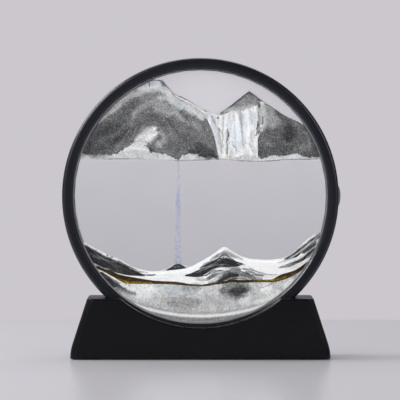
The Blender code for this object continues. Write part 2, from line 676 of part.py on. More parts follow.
def foot_places():
    half_width, half_depth, _ = plate_size()
    x = half_width - FOOT_INSET - FOOT_RADIUS
    y = half_depth - FOOT_INSET / 2.0 - FOOT_RADIUS
    return [("front_left", -x, -y), ("front_right", x, -y), ("rear_left", -x, y), ("rear_right", x, y)]


def make_stand_shell():
    shell = add_piece("stand_shell", lofted_block("stand_shell", outer_levels()), BLACK_PLASTIC)
    boolean(shell, turned_cutter("saddle", saddle_section(), SADDLE_CENTRE_Z, 2 * RING_SEGMENTS))
    groove = plate_section(GROOVE_RADIUS, -GROOVE_HALF_WIDTH, GROOVE_HALF_WIDTH, SADDLE_RADIUS / 2.0)
    boolean(shell, turned_cutter("groove", groove, RING_CENTRE_Z, 2 * RING_SEGMENTS))
    boolean(shell, make_cavity_cutter())
    for index, (x, y) in enumerate(screw_places()):
        pilot = bore_cutter("pilot_%d" % (index + 1), SCREW_SHANK_RADIUS + GAP, (x, y, 0.0),
                            (x, y, SCREW_LENGTH + PLATE_TOP), segments=SCREW_SEGMENTS)
        boolean(shell, pilot)
    settle(shell)


def make_base_plate():
    levels = [(z, *plate_size()) for z in (PLATE_Z, PLATE_TOP)]
    plate = add_piece("base_plate", lofted_block("base_plate", levels, 3), BLACK_PLASTIC)
    for index, (x, y) in enumerate(screw_places()):
        hole = screw_section(GAP, -CUTTER_REACH, PLATE_TOP + CUTTER_REACH)
        cutter = add_cutter("screw_hole_%d" % (index + 1), turned_mesh("hole", hole, SCREW_SEGMENTS))
        cutter.location = (x, y, 0.0)
        boolean(plate, cutter)
    for name, x, y in foot_places():
        pocket = bore_cutter("pocket_" + name, FOOT_RADIUS + GAP, (x, y, -CUTTER_REACH),
                             (x, y, PLATE_Z + FOOT_POCKET_DEPTH))
        boolean(plate, pocket)
    settle(plate)


def screw_section(margin, bottom, top):
    """Countersunk screw from below, moved out by a margin: flat head, cone, then shank."""
    head_z = PLATE_Z + GAP - margin
    cone_z = head_z + SCREW_HEAD_HEIGHT + margin
    head = SCREW_HEAD_RADIUS + margin
    shank = SCREW_SHANK_RADIUS + margin
    low = min(bottom, head_z)
    return [(shank, top), (shank, cone_z), (head, head_z + margin), (head, low), (0.0, low), (0.0, top)]


def make_screws_and_feet():
    screw_tip = PLATE_Z + SCREW_LENGTH
    screw = turned_mesh("base_screw", screw_section(0.0, PLATE_Z + GAP, screw_tip), SCREW_SEGMENTS)
    for index, (x, y) in enumerate(screw_places()):
        piece = add_piece("base_screw_%d" % (index + 1), screw.copy(), SCREW_STEEL)
        piece.location = (x, y, 0.0)
    foot_top = PLATE_Z + FOOT_POCKET_DEPTH - GAP
    for name, x, y in foot_places():
        disc = solid_disc_mesh("foot_" + name, FOOT_RADIUS, foot_top / 2.0, BORE_SEGMENTS)
        foot = add_piece("foot_" + name, disc, FOOT_FOAM)
        foot.location = (x, y, foot_top / 2.0)


def build():
    make_stand_shell()
    make_base_plate()
    make_screws_and_feet()
    front_bezel, rear_bezel = make_bezels()
    spacer = make_chamber_walls()
    bore_plug_hole((front_bezel, rear_bezel, spacer))
    make_fill_plug()
    make_fallen_sand()
    make_held_sand()
    make_liquid()


build()
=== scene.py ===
import json
import math

import bmesh
import bpy
import numpy as np
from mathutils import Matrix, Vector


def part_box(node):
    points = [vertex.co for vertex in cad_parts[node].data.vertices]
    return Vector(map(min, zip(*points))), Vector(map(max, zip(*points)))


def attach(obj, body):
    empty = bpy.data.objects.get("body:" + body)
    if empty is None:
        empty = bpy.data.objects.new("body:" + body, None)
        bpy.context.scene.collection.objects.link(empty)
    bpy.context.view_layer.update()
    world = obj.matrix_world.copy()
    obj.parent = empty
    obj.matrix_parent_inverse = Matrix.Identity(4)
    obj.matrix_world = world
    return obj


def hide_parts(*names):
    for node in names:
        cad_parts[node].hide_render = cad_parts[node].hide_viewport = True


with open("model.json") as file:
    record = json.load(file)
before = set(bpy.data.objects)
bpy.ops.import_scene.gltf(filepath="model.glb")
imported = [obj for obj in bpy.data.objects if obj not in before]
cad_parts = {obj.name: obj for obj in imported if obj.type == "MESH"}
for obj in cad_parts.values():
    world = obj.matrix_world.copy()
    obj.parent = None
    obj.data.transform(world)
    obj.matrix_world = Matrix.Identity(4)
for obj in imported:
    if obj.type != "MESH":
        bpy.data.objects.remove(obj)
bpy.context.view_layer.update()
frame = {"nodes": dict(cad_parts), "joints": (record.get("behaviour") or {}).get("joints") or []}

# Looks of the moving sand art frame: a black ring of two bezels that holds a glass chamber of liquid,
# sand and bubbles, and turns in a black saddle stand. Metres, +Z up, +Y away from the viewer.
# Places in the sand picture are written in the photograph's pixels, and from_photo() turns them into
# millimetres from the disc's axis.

MM = 0.001

# Places that come from the frame
DISC_AXIS_Z = next(joint for joint in frame["joints"] if joint["name"] == "disc_turn")["pos_m"][2] / MM
RING_LOW, RING_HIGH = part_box("front_bezel")
RING_RADIUS = (RING_HIGH.x - RING_LOW.x) / 2.0 / MM
HALF_DEPTH = -RING_LOW.y / MM
PANE_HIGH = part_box("front_pane")[1]
LIQUID_BOTTOM, LIQUID_SURFACE = (corner.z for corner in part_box("liquid_below"))

# Fit and section of the frame, as in the solids
GAP = 0.3
BEZEL_WALL = 2.4
LIP_WIDTH = 7.1
LIP_THICKNESS = 2.5
RING_EDGE_RADIUS = 2.0
SEAM_RADIUS = 0.2
LIP_CHAMFER = 1.1
LIP_CHAMFER_POWER = 1.25
TONGUE_THICKNESS = 1.0
TONGUE_LENGTH = 1.8
SPACER_WIDTH = 5.1
WALL_CLEARANCE = 0.05
PLUG_BORE_RADIUS = 3.0
BORE_CUTTER_LENGTH = 30.0

# Chamber, its filling, and the radius for which the sand's lines are drawn
CHAMBER_RADIUS = PANE_HIGH.x / MM - SPACER_WIDTH
FILL_RADIUS = CHAMBER_RADIUS - WALL_CLEARANCE
FILL_HALF_DEPTH = -PANE_HIGH.y / MM - GAP
DRAWN_RADIUS = 82.65
DRAWING_SCALE = CHAMBER_RADIUS / DRAWN_RADIUS

# Fineness of the meshes, and the angles in degrees from which their edges stay sharp
RING_SEGMENTS = 256
EDGE_STEPS = 8
SEAM_STEPS = 2
BORE_SIDES = 48
BEZEL_SHARP = 32.0
SAND_SHARP = 50.0
COLUMN_PITCH = 0.40
TOP_ROWS = 10
FLOOR_ROWS = 5
CURVE_STEPS = 6

# Edges whose faces lean by more than this share have the smoother finish
EDGE_LEAN = 0.03

# Forms of the sand's edges and faces. A drop is how far a crest lies lower at the panes than between them,
# and it fades out over a distance. Its largest share of a layer's thickness is MOST_DROP. Grains have relief
# on the faces, which are the vertices beyond a share of the half depth.
THINNEST = 0.06
CREST_DROP = 1.6
CREST_FADE = 3.0
HELD_DROP = 0.6
HELD_FADE = 4.0
MOST_DROP = 0.8
CREST_RIPPLE = 0.25
GRAIN_RELIEF = 0.10
FACE_SHARE = 0.98

# Where two held masses meet, how far the heap stays off the panes, and the extent of the bubble layer
MASS_JOINT_X = 37.6
HEAP_INSET = 0.6
BUBBLE_RECESS = 0.25
BUBBLE_HALF_WIDTH = 78.4
BUBBLE_OVERLAP = 1.2
BUBBLE_TOP = 25.4

# How far grains stick out of a piece's floor line and roof line
RAGGED = {"gold_layer": (0.2, 0.45), "white_crest": (0.0, 0.12), "right_dune": (0.0, 0.12),
          "fallen_heap": (0.0, 0.2), "held_left_sand": (0.9, 0.3), "held_curtain": (0.4, 0.0),
          "held_peak": (0.0, 0.2), "held_right_sand": (0.9, 0.3), "held_bubbles": (0.35, 0.0)}

# Falling grains: the places where they start and land, and how the fall widens and wanders
STREAM_TOP = (178.6, 160.5)
STREAM_FOOT = (177.6, 266)
STREAM_Y = 2.4
STREAM_RADIUS = 0.5
STREAM_SPREAD = 2.1
STREAM_SWELL = 0.6
SWELLS_ALONG = 30.0
STREAM_WANDER = 0.35
WANDERS_ALONG = 9.0
STREAM_STEPS = 90
STREAM_SIDES = 10

# Cover of the fall: everywhere, more round a place along it, and more towards its foot
STREAM_COVER = 0.14
DENSE_COVER = 0.20
DENSE_PLACE = 0.42
DENSE_LENGTH = 0.13
FOOT_COVER = 0.16

# Painting: the size of the noise's grid, the shape of a stroke, and how far its edges waver
LATTICE = 256
EDGE_SPREAD = 0.85
TIP_WIDTH = 0.35
HELD_WAVER = 0.9
FALLEN_WAVER = 0.35
BED_WAVER = 1.0

# Between these depths behind a pane the pattern shifts sideways, by up to this distance, so that the
# picture doesn't run straight through the sand
MIX_DEPTHS = (0.2, 1.6)
DEPTH_MIX = 5.0

# How strongly greys vary in broad patches, in small ones, in specks and in streaks
HELD_PATCHES = 22.0
HELD_MOTTLE = 10.0
HELD_SPECKS = 12.0
CURTAIN_STREAKS = 40.0
FALLEN_PATCHES = 16.0
FALLEN_MOTTLE = 14.0
GOLD_SPECKS = 110.0
BED_SPECKS = 34.0

# White as a grey of the photograph, and the power that turns its greys into shares of light
WHITE = 255.0
DISPLAY_GAMMA = 2.2

# Grains: cells per metre, how far single grains stand out, how much they clump in tones from 0 to an end,
# their least gleam and how much more a grain may have, and their colours
GRAIN_SCALE = 4200.0
GRAIN_CONTRAST = 0.37
GRAIN_SHARPNESS = 6.0
CLUMPING = 0.36
CLUMPING_END = 1.15
LEAST_GLEAM = 0.88
MORE_GLEAM = 0.24
PALE_GRAIN = (0.93, 0.93, 0.925)
DARK_GRAIN = (0.014, 0.015, 0.016)
BLUE_GRAIN = (0.68, 0.78, 0.87)
DARK_GOLD = (0.026, 0.012, 0.0015)
BRIGHT_GOLD = (0.60, 0.40, 0.025)
FALLING_GRAIN = (0.36, 0.40, 0.66)
WHITE_LIGHT = (1.0, 1.0, 1.0)

# Moulded plastics: colour, roughness, height of their texture and mirror level
PLASTICS = {"black_plastic": ((0.006, 0.007, 0.011), 0.34, 0.00003, 0.28),
            "black_plastic_edges": ((0.007, 0.008, 0.012), 0.26, 0.00001, 0.44),
            "stand_plastic": ((0.0022, 0.0024, 0.0034), 0.25, 0.00002, 0.24)}

# Silicone rubbers: colour and roughness
SILICONES = {"seal_silicone": ((0.28, 0.275, 0.30), 0.42), "plug_silicone": ((0.10, 0.085, 0.13), 0.5)}

# Clear bodies: tint, share of light that they mirror head on, roughness, share and colour of their haze,
# share that they mirror at a slant, and for the lower liquid its tint at the bottom
COOL_HAZE = (0.86, 0.90, 0.95)
PALE_HAZE = (0.97, 0.975, 1.0)
CLEARS = {
    "pane_glass": ((0.996, 0.998, 0.999), 0.008, 0.03, 0.0, COOL_HAZE, 0.9),
    "clear_acrylic": ((0.985, 0.985, 0.99), 0.02, 0.12, 0.06, COOL_HAZE, 0.12),
    "clear_liquid": ((0.982, 0.991, 0.994), 0.0, 0.05, 0.0, COOL_HAZE, 0.06, (0.905, 0.915, 0.918)),
    "clear_liquid_hazy": ((0.999, 0.999, 0.999), 0.0, 0.05, 0.13, PALE_HAZE, 0.06)}

# Foam and steel: their darkest and palest colours
FOAM_COLOURS = ((0.008, 0.008, 0.008), (0.045, 0.045, 0.047))
STEEL_COLOURS = ((0.26, 0.26, 0.27), (0.38, 0.38, 0.39))

# Noise of the textures: scale per metre, then detail and roughness where they aren't the usual ones
GRAIN_CLUMPS = (1700.0, 2.0, 0.6)
STREAM_PATCHES = (420.0, 3.0, 0.6)
PLASTIC_TEXTURE = (1500.0, 3.0, 0.6)
HANDLING_MARKS = (22.0, 4.0, 0.55)
GLASS_SMEARS = (35.0, 3.0)
SILICONE_TEXTURE = (700.0, 3.0)
SILICONE_PATCHES = (60.0,)
STEEL_TEXTURE = (2500.0, 3.0)
FLOOR_TEXTURE = (400.0, 3.0)
FOAM_SCALE = 1600.0

# Relief of the textures: height in metres and strength
GRAIN_BUMP = (0.00018, 0.35)
FOAM_BUMP = (0.0002, 0.8)
SILICONE_BUMP = (0.00005, 0.4)
PLASTIC_BUMP_STRENGTH = 0.5

# First and second shade of a texture, as levels of its colour
PLASTIC_SHADES = (0.85, 1.2)
SILICONE_SHADES = (0.85, 1.15)
SMEAR_SHADES = (1.004, 0.996)
FLOOR_SHADES = (0.98, 1.02)

# Where most of a noise pattern lies, and the narrower part of it that shades the plastic
NOISE_RANGE = (0.3, 0.7)
PLASTIC_SHADE_RANGE = (0.35, 0.65)

# Patches of the falling grains: the part of the noise that shows and the cover that it gives, and the power
# by which the fall thins out towards its edges
STREAM_PATCH_RANGE = (0.38, 0.66, 0.0, 1.7)
STREAM_EDGE_POWER = 1.5

# Roughness from place to place, and how much smoother or rougher plastic and silicone are in places
GRAIN_ROUGHNESS = (0.55, 0.95)
STEEL_ROUGHNESS = (0.25, 0.42)
FOAM_ROUGHNESS = 0.95
GRAIN_MIRROR = 0.2
SMOOTHER = 0.05
PLASTIC_ROUGHER = 0.06
SILICONE_ROUGHER = 0.05

# Finish of the solids that show, by how their names start
FINISHES = {"stand_shell": "stand_plastic", "base_plate": "stand_plastic", "base_screw": "screw_steel",
            "foot_": "foot_foam", "front_pane": "pane_glass", "rear_pane": "pane_glass",
            "front_seal": "seal_silicone", "rear_seal": "seal_silicone", "spacer_ring": "clear_acrylic",
            "fill_plug": "plug_silicone", "liquid_below": "clear_liquid",
            "liquid_above": "clear_liquid_hazy"}

# The pixel where the disc's axis lies, and the size of a pixel in millimetres at the sand's front face
PHOTO_AXIS = (200.4, 196.3)
PHOTO_PIXEL = 0.6514

# Camera at the photograph's viewing angle
CAMERA_PLACE = (-0.00023, -2.1, 0.1575)
CAMERA_TILT = math.radians(88.511)
CAMERA_LENS = 289.3
CAMERA_SENSOR = 36.0

# How many clear surfaces light may cross
CLEAR_SURFACES = 24

# Studio: colours as they should render, and the light's level
BACKDROP = (0.597, 0.571, 0.6105)
ROOM_IN_FRONT = (0.045, 0.045, 0.055)
ROOM_BEHIND = (0.30, 0.29, 0.31)
ROOM_BLEND = (-0.35, 0.25)
AMBIENT = (0.97, 0.98, 1.0)
AMBIENT_LEVEL = 0.70
FLOOR_COLOUR = (0.43, 0.42, 0.445)
FLOOR_ROUGHNESS = 0.22
FLOOR_NEAR = -2.4
FLOOR_FAR = 0.39
FLOOR_HALF_WIDTH = 1.5

# Lamps: name, place, width, height and power. All point at the middle of the object.
LAMP_TARGET = (0.0, 0.0, 0.1)
LAMPS = (("top_box", (0.0, 0.4, 1.1), 1.1, 0.6, 7.0),
         ("key_left", (-0.85, -1.2, 0.7), 0.7, 0.9, 9.0),
         ("fill_right", (1.0, -1.2, 0.55), 0.7, 0.7, 5.0),
         ("rim_left", (-1.1, 0.0, 1.0), 0.5, 0.7, 23.0))

# Lines of the sand, in millimetres from the disc's axis
DUNE_RIDGE = [(-84, -26.4), (-61, -38.5), (-53.5, -41.5), (-42, -47.5), (-31, -49.5), (-22, -49),
              (-9.5, -47.5), (-0.5, -43.5), (8, -38.5), (16, -33.5), (20.5, -36), (26.5, -39.5),
              (35, -41.5), (45, -42), (53.5, -41), (60, -37.5), (68.5, -30), (75, -25), (84, -20.5)]
LEFT_DUNE_TOP = [(-80, -30.3), (-61, -40.2), (-53.5, -43.4), (-46, -46.8), (-41.5, -49.3), (-36.5, -51.4)]
LEFT_DUNE_UNDERSIDE = [(-80, -31.3), (-71, -43), (-64, -47), (-54, -50.5), (-46, -52), (-36.5, -52.4)]
PEAK_BAND_TOP = [(-10, -51.4), (-0.5, -48), (6, -45), (13, -41.5), (16.5, -40.5), (21.5, -42), (28, -44)]
PEAK_BAND_UNDERSIDE = [(-10, -52.5), (-3.5, -53), (2, -52.5), (7.5, -49.5), (12, -47.5), (20, -46.8),
                       (24.5, -46), (28, -45)]
SLOPE_BAND_TOP = [(51, -46), (58.5, -43.8), (65, -40.5), (70.5, -36.5), (80, -31)]
SLOPE_BAND_UNDERSIDE = [(51, -47), (58.5, -46), (64, -44), (67, -42.5), (70.5, -40), (80, -33)]
RIGHT_DUNE_UNDERSIDE = [(55, -42), (63, -40), (67, -36.5), (71.5, -33), (75, -29.5), (80, -26)]
CREST_UNDERSIDE = LEFT_DUNE_TOP + [(-25, -51.9)] + PEAK_BAND_TOP + [(40, -45.8)] + SLOPE_BAND_TOP
DRIFT_TOP = (LEFT_DUNE_UNDERSIDE + [(-25, -52.4)] + PEAK_BAND_UNDERSIDE + [(40, -46.3)]
             + SLOPE_BAND_UNDERSIDE)
HILL_TOP = [(5, -55.6), (11.5, -53.5), (16, -51), (20.5, -49.2), (26, -48.8), (30.5, -50), (34.5, -52),
            (41, -53.6)]
GOLD_TOP = [(-70, -46), (-61, -48.2), (-57, -49.7), (-52.5, -51.4), (-42, -53.5), (-35.5, -54.6),
            (-28.5, -55.5), (-17, -56), (-6.5, -57.5), (-0.5, -57.9), (5, -57.4), (11, -56.4), (17, -55.5),
            (20, -54.5), (26, -54.9), (46, -54.6), (53, -51.3), (61, -48.9), (70.5, -42.7), (76, -38)]
GOLD_UNDERSIDE = [(-70, -46.4), (-62, -50.2), (-57, -53), (-52, -56), (-48, -57.4), (-42, -57.5),
                  (-28.5, -57.6), (-17, -58), (-6.5, -58.9), (-0.5, -59.1), (5, -58.8), (11, -57.8),
                  (17, -57), (20, -56.5), (26, -56.8), (36, -56.5), (46, -56.4), (53, -55.3), (62, -51.6),
                  (70.5, -45.2), (76, -40.4)]
HEAP_TOP = [(-22.3, -48.4), (-19.5, -46.9), (-16.4, -45), (-14.4, -44.6), (-12, -45.5), (-8.5, -47.9)]
LEFT_MASS_RIDGE = [(-80, 30), (-46, 72), (-33, 76.5), (-25.5, 76), (-21, 71.5), (-17, 67), (-11, 64.5),
                   (-0.5, 57.5), (3, 53), (9, 39.5), (12, 25)]
LEFT_MASS_UNDERSIDE = [(-80, 28), (-59, 27), (-51, 30), (-48.5, 32.5), (-40.5, 33.5), (-34.5, 32),
                       (-33, 29), (-23.5, 27.5), (-14.5, 24), (-11.5, 27), (-7, 28), (-0.5, 27.5),
                       (3, 25), (12, 24)]
CURTAIN_TOP = [(0.8, 57.5), (6, 55), (12, 53.2), (18, 54.6), (20.5, 56.4), (26, 56.6), (32.5, 58.6),
               (37, 59.6)]
CURTAIN_UNDERSIDE = [(0.8, 57), (4.2, 53), (10.2, 39.5), (13.2, 25), (37, 25)]
PEAK_TOP = [(13, 54.6), (16, 56.7), (22.5, 61.5), (31, 68.2), (32, 68.8), (33, 68.2), (37.4, 65)]
RIGHT_MASS_RIDGE = [(38.2, 64.2), (47.5, 58), (56, 52.5), (65.5, 48), (69, 45.5), (80, 30)]
RIGHT_MASS_UNDERSIDE = [(38.2, 26), (40.5, 24), (44, 25.5), (47.5, 27), (54.5, 26), (62.5, 28),
                        (68.5, 26), (80, 25.5)]
MENISCUS = [(-80, 24.6), (-62, 24.2), (-45, 24.4), (-30, 24), (-14, 23), (0, 23.6), (14, 24), (30, 22.9),
            (42, 22.7), (55, 23.6), (68, 24), (80, 24.4)]

# Grey that each layer starts from, as it shows in the photograph, 0 to 255
LAYER_GREYS = {"white_bed": 206, "gold_layer": 70, "near_hill": 172, "white_drift": 254, "left_dune": 36,
               "peak_band": 30, "slope_band": 58, "white_crest": 248, "right_dune": 112, "fallen_heap": 58,
               "held_left_sand": 109, "held_curtain": 230, "held_peak": 140, "held_right_sand": 100,
               "held_bubbles": 203}

# Bands along the bottom of the bed: circles about a point on the axis, with radius, width and grey
BAND_CENTRE_Z = 50.0
# The palest band is painted whiter than its sand, as painted light that makes up for the lip's shade
BED_BANDS = ((126.4, 0.8, 182), (128.1, 1.2, 255), (130.6, 1.7, 150))

# Streaks that fan out near the bed's bottom: their centre, how dark they are, and where they fade in
FAN_CENTRE_Z = 4.2
FAN_STRENGTH = 26.0
FAN_RADII = (66.0, 72.0)
FAN_START = (52.0, 62.0)
FAN_END = (132.0, 122.0)

# How strongly each layer shows fine streaks that run along a ridge, and the ridge where it isn't the dunes'
STREAKS = {"left_dune": 66, "peak_band": 84, "slope_band": 90, "right_dune": 150, "white_drift": 130,
           "white_crest": 20, "near_hill": 150, "fallen_heap": 30}
STREAK_GUIDES = {"near_hill": HILL_TOP, "white_drift": DRIFT_TOP, "left_dune": LEFT_DUNE_TOP,
                 "peak_band": PEAK_BAND_TOP}

# Streaks that arch round a point in the left-hand held mass
ARCH_CENTRE = (-31.5, 23.6)
ARCH_STREAKS = 16.0

# Dark streaks under the apex: its place along X, half width and depth in millimetres, the part of the
# streaks that shows, and their strength
APEX_X = 14.5
APEX_REACH = 12.0
APEX_DEPTHS = (-1.6, -3.0)
APEX_STREAKS = (0.45, 0.9)
APEX_STRENGTH = 110.0

# Strokes of paler or darker sand: grey, width and softness in pixels, then the stroke's points
LOWER_STROKES = [
    # swirls in the left dune
    (30, 3.4, 2.4, (83, 247), (92, 256), (102, 262)),
    (92, 0.9, 0.8, (86, 245), (95, 252), (106, 257), (112, 259)),
    (88, 1, 0.8, (90, 253), (98, 258), (108, 261), (116, 261)),
    (80, 1, 0.8, (100, 263), (108, 264), (115, 262), (121, 262)),
    (40, 2.4, 1.6, (104, 268.6), (112, 269.6), (120, 270.6), (130, 273)),
    (30, 1.6, 0.8, (88.5, 256), (93, 261.5), (99, 265.5), (107, 267), (112, 266)),
    (226, 1.7, 0.5, (92.5, 263.2), (96, 265.4), (102.8, 268.4), (108, 269.2), (112, 268.2)),
    (150, 1.2, 0.7, (112, 268.2), (116, 265.8), (121, 264.6), (126, 265.6), (131, 267.5)),
    (105, 1, 0.8, (118, 262), (125, 265), (133, 269), (140, 272)),
    (34, 2, 1, (118, 271.5), (130, 273), (143, 275)),
    (70, 0.8, 0.6, (143, 275), (150, 275.2), (156, 275)),
    (30, 2.6, 1.6, (83, 245.4), (95, 252.4), (104, 257.4)),
    (28, 4.2, 2.4, (100, 257), (114, 263.2), (128, 269)),
    (28, 2.6, 2, (90, 255), (99, 262), (110, 266)),
    (104, 0.8, 0.5, (88, 246.6), (96, 251.6), (104, 256.6), (111, 259.4)),
    (112, 0.8, 0.5, (93, 251.6), (101, 257.4), (109, 261.2), (117, 262.6)),
    (120, 0.8, 0.5, (113, 260), (121, 263), (129, 267), (137, 270.4)),
    (96, 0.8, 0.5, (98, 261.4), (106, 264.4), (114, 265.2), (121, 267.6)),
    (28, 5, 2.6, (96, 261), (106, 265.4), (120, 269)),
    (44, 1.8, 0.9, (96, 266.3), (103, 269.8), (111, 272.2)),
    # the small notch where two crests cross
    (60, 1.2, 0.5, (107.6, 255.8), (110, 256.6), (113, 257.2)),
    # white lines of the crest
    (250, 1.7, 0.4, (81, 240.6), (96, 249.2), (106.4, 255)),
    (250, 1.7, 0.4, (107.3, 253.8), (114.4, 257), (120.6, 259.8), (129.6, 264.8), (136.7, 268), (146, 271)),
    (250, 2.6, 0.6, (146, 271), (157, 272), (166, 271.6), (184.7, 270), (191.6, 265.8), (203, 259.6),
     (214, 253.6)),
    (246, 1.6, 0.5, (212, 255), (219, 250.6), (225, 248), (231.6, 251.2), (241, 257)),
    (150, 1.2, 0.8, (129, 268), (137, 271), (146, 273)),
    # streaks under the apex
    (196, 2.2, 1, (210, 260), (218, 255), (225, 251.4), (231, 254), (237, 258)),
    (150, 1.2, 1.2, (212, 258.6), (219, 254.6), (224, 252.6)),
    (176, 0.9, 0.8, (203, 264.6), (211, 260.8), (219, 256.6)),
    (168, 0.8, 0.8, (199, 268), (208, 263.2), (216, 258.8)),
    (146, 1.2, 1.2, (224.6, 252.8), (229.5, 254), (234.4, 256.8)),
    (170, 0.9, 0.8, (230, 252.6), (236, 256.4), (243, 260.4)),
    (134, 1.2, 0.9, (215, 257.6), (220, 256.4), (226, 255.4), (231, 256.6), (237, 259)),
    (228, 1, 0.6, (209, 262.5), (218, 258), (226, 256.8), (233, 258), (241, 260.8)),
    # the dark band under the apex
    (44, 2.6, 1.6, (205, 271), (213, 267), (221, 264.6), (231, 265)),
    (28, 4.6, 2.2, (204, 269.6), (212, 265.4), (220, 263)),
    (118, 2, 1.6, (199, 271), (207, 268), (215, 265.4), (223, 264.6)),
    (26, 3.6, 2.4, (219, 262.6), (226, 261), (235, 262.4)),
    (140, 1, 0.9, (237, 263.8), (241, 264.4), (246, 264.8)),
    (50, 1.2, 0.8, (200, 268.4), (208, 264.2), (216, 260.2), (224, 257.4)),
    (84, 2, 1.6, (196, 273), (203, 271.6), (209, 268)),
    (240, 1.3, 0.5, (203.8, 275.6), (207.5, 273.4), (212.9, 270.2), (219, 268.4), (225, 268.2),
     (233, 268.2), (240, 266.8), (245, 265.2)),
    (26, 1.1, 0.5, (205.4, 276.2), (209, 274.2), (213, 272.4), (218, 270.8), (223.4, 270.2)),
    # the near hill and the streaks to its right
    (50, 8, 7, (220, 281), (228, 277), (237, 276)),
    (150, 3, 2.6, (207, 279), (214, 276), (221, 274)),
    (134, 5, 5, (240, 279), (248, 277)),
    (148, 5, 4, (231, 270), (240, 270)),
    (160, 6, 5, (246, 273), (253, 277)),
    (128, 3, 3, (209, 273), (216, 270.5)),
    (96, 1.6, 1.2, (246, 272), (249.5, 274)),
    (150, 2, 1.4, (243, 269), (250, 271), (256, 274.6), (264, 275.6)),
    (150, 0.8, 0.8, (206, 281), (211, 279), (215.6, 276.6)),
    (176, 1, 0.8, (250, 268.6), (258, 272), (268, 274.6), (279, 274.8)),
    (214, 0.9, 0.8, (255, 276.6), (266, 277.6), (277, 276.6)),
    (250, 4, 2.5, (252, 263.5), (262, 265.5), (276, 266), (287, 262.5)),
    # streaks of the right-hand dune
    (100, 1.1, 0.6, (288, 257.2), (296, 251.6), (304, 245), (311, 238.4)),
    (120, 1.1, 0.6, (292, 257.4), (300, 251.4), (307, 245.6)),
    (92, 1, 0.6, (302, 248), (308, 241.8), (314, 236.8), (320, 233.4)),
    (226, 0.9, 0.5, (289, 258.8), (297, 254), (305, 247.2), (311, 241.4)),
    (140, 3.4, 1.6, (304, 250), (310, 246), (316, 241.5)),
    (190, 1, 0.8, (278, 263.2), (287, 260.6), (294, 257.6)),
    (250, 1.4, 0.4, (280, 258.8), (287, 256), (295, 250.4), (304, 242.6), (313, 235), (321, 231.2)),
    (222, 2, 1, (289, 262.6), (297, 259.4), (304, 255.4), (311, 250.6), (316, 246.4)),
    (52, 1.7, 1, (304, 257.4), (309, 253.4), (316, 247.8)),
    (134, 1.6, 1.2, (280, 267.4), (288, 265.8), (297, 263.4)),
    (132, 2.2, 1.4, (306, 258), (311, 254.6), (315, 250.6)),
    (240, 2, 1, (276, 272.8), (288, 269.4), (298, 265.6), (305, 261.4), (310, 258.4)),
    (70, 2.6, 1.8, (303, 253), (309, 248.6), (316, 243.6)),
    (238, 2.6, 2, (278, 261), (283, 258.6), (288, 256)),
    (206, 0.9, 0.5, (287, 257.2), (295, 251.8), (303, 245), (310, 239), (317, 234.4)),
    (190, 0.8, 0.6, (297, 253.4), (305, 246.8), (312, 241), (319, 236.6)),
    # the bed: bright left, cool cloud, dark smudge, grey smudge
    (236, 15, 10, (130, 290), (142, 291), (154, 291)),
    (166, 5, 5, (182, 289), (192, 288), (200, 288)),
    (206, 3, 2.4, (196, 279), (206, 280)),
    (124, 12, 9, (222, 291), (234, 290), (248, 289)),
    (60, 7, 7, (231, 292), (238, 292), (245, 290)),
    (160, 9, 8, (168, 302), (182, 303), (200, 302)),
    (186, 6, 5, (204, 296), (216, 302), (230, 302)),
    (224, 6, 5, (240, 302), (250, 301)),
    (244, 8, 6, (262, 290), (271, 288)),
    (240, 4, 3, (283, 288), (293, 280)),
    (236, 4, 3, (255, 303), (268, 299), (280, 292)),
    # the bed: white line and dark wedge at its left
    (38, 5, 2, (98, 272.6), (106, 279.4), (114, 286.4)),
    (60, 4, 2.8, (104, 277), (112, 282.4), (120, 286.8), (127, 290)),
    (132, 2.6, 3, (116, 288), (126, 291.6), (136, 294)),
    (255, 1.6, 0.6, (95, 268), (103.7, 272.3), (112, 276.8), (119, 280.8), (127, 284.8)),
    (244, 2, 1.6, (120, 284), (127, 287.4), (134, 291)),
    (176, 1.3, 1.2, (262, 288), (276, 282), (288, 275)),
    (206, 1.2, 1.2, (283, 291), (293, 284), (302, 274)),
    (176, 1.6, 1.4, (296, 286), (304, 276), (311, 266)),
    (236, 3, 2.4, (278, 296), (290, 288), (300, 278)),
]

HEAP_STROKES = [
    (36, 1.2, 0.8, (167, 270), (173, 266.6), (178, 264.8), (184, 267.4)),
    (118, 0.9, 0.6, (172, 268.4), (176.5, 267), (181, 267.8)),
    (34, 1.2, 0.8, (168, 271), (186, 270.6)),
]

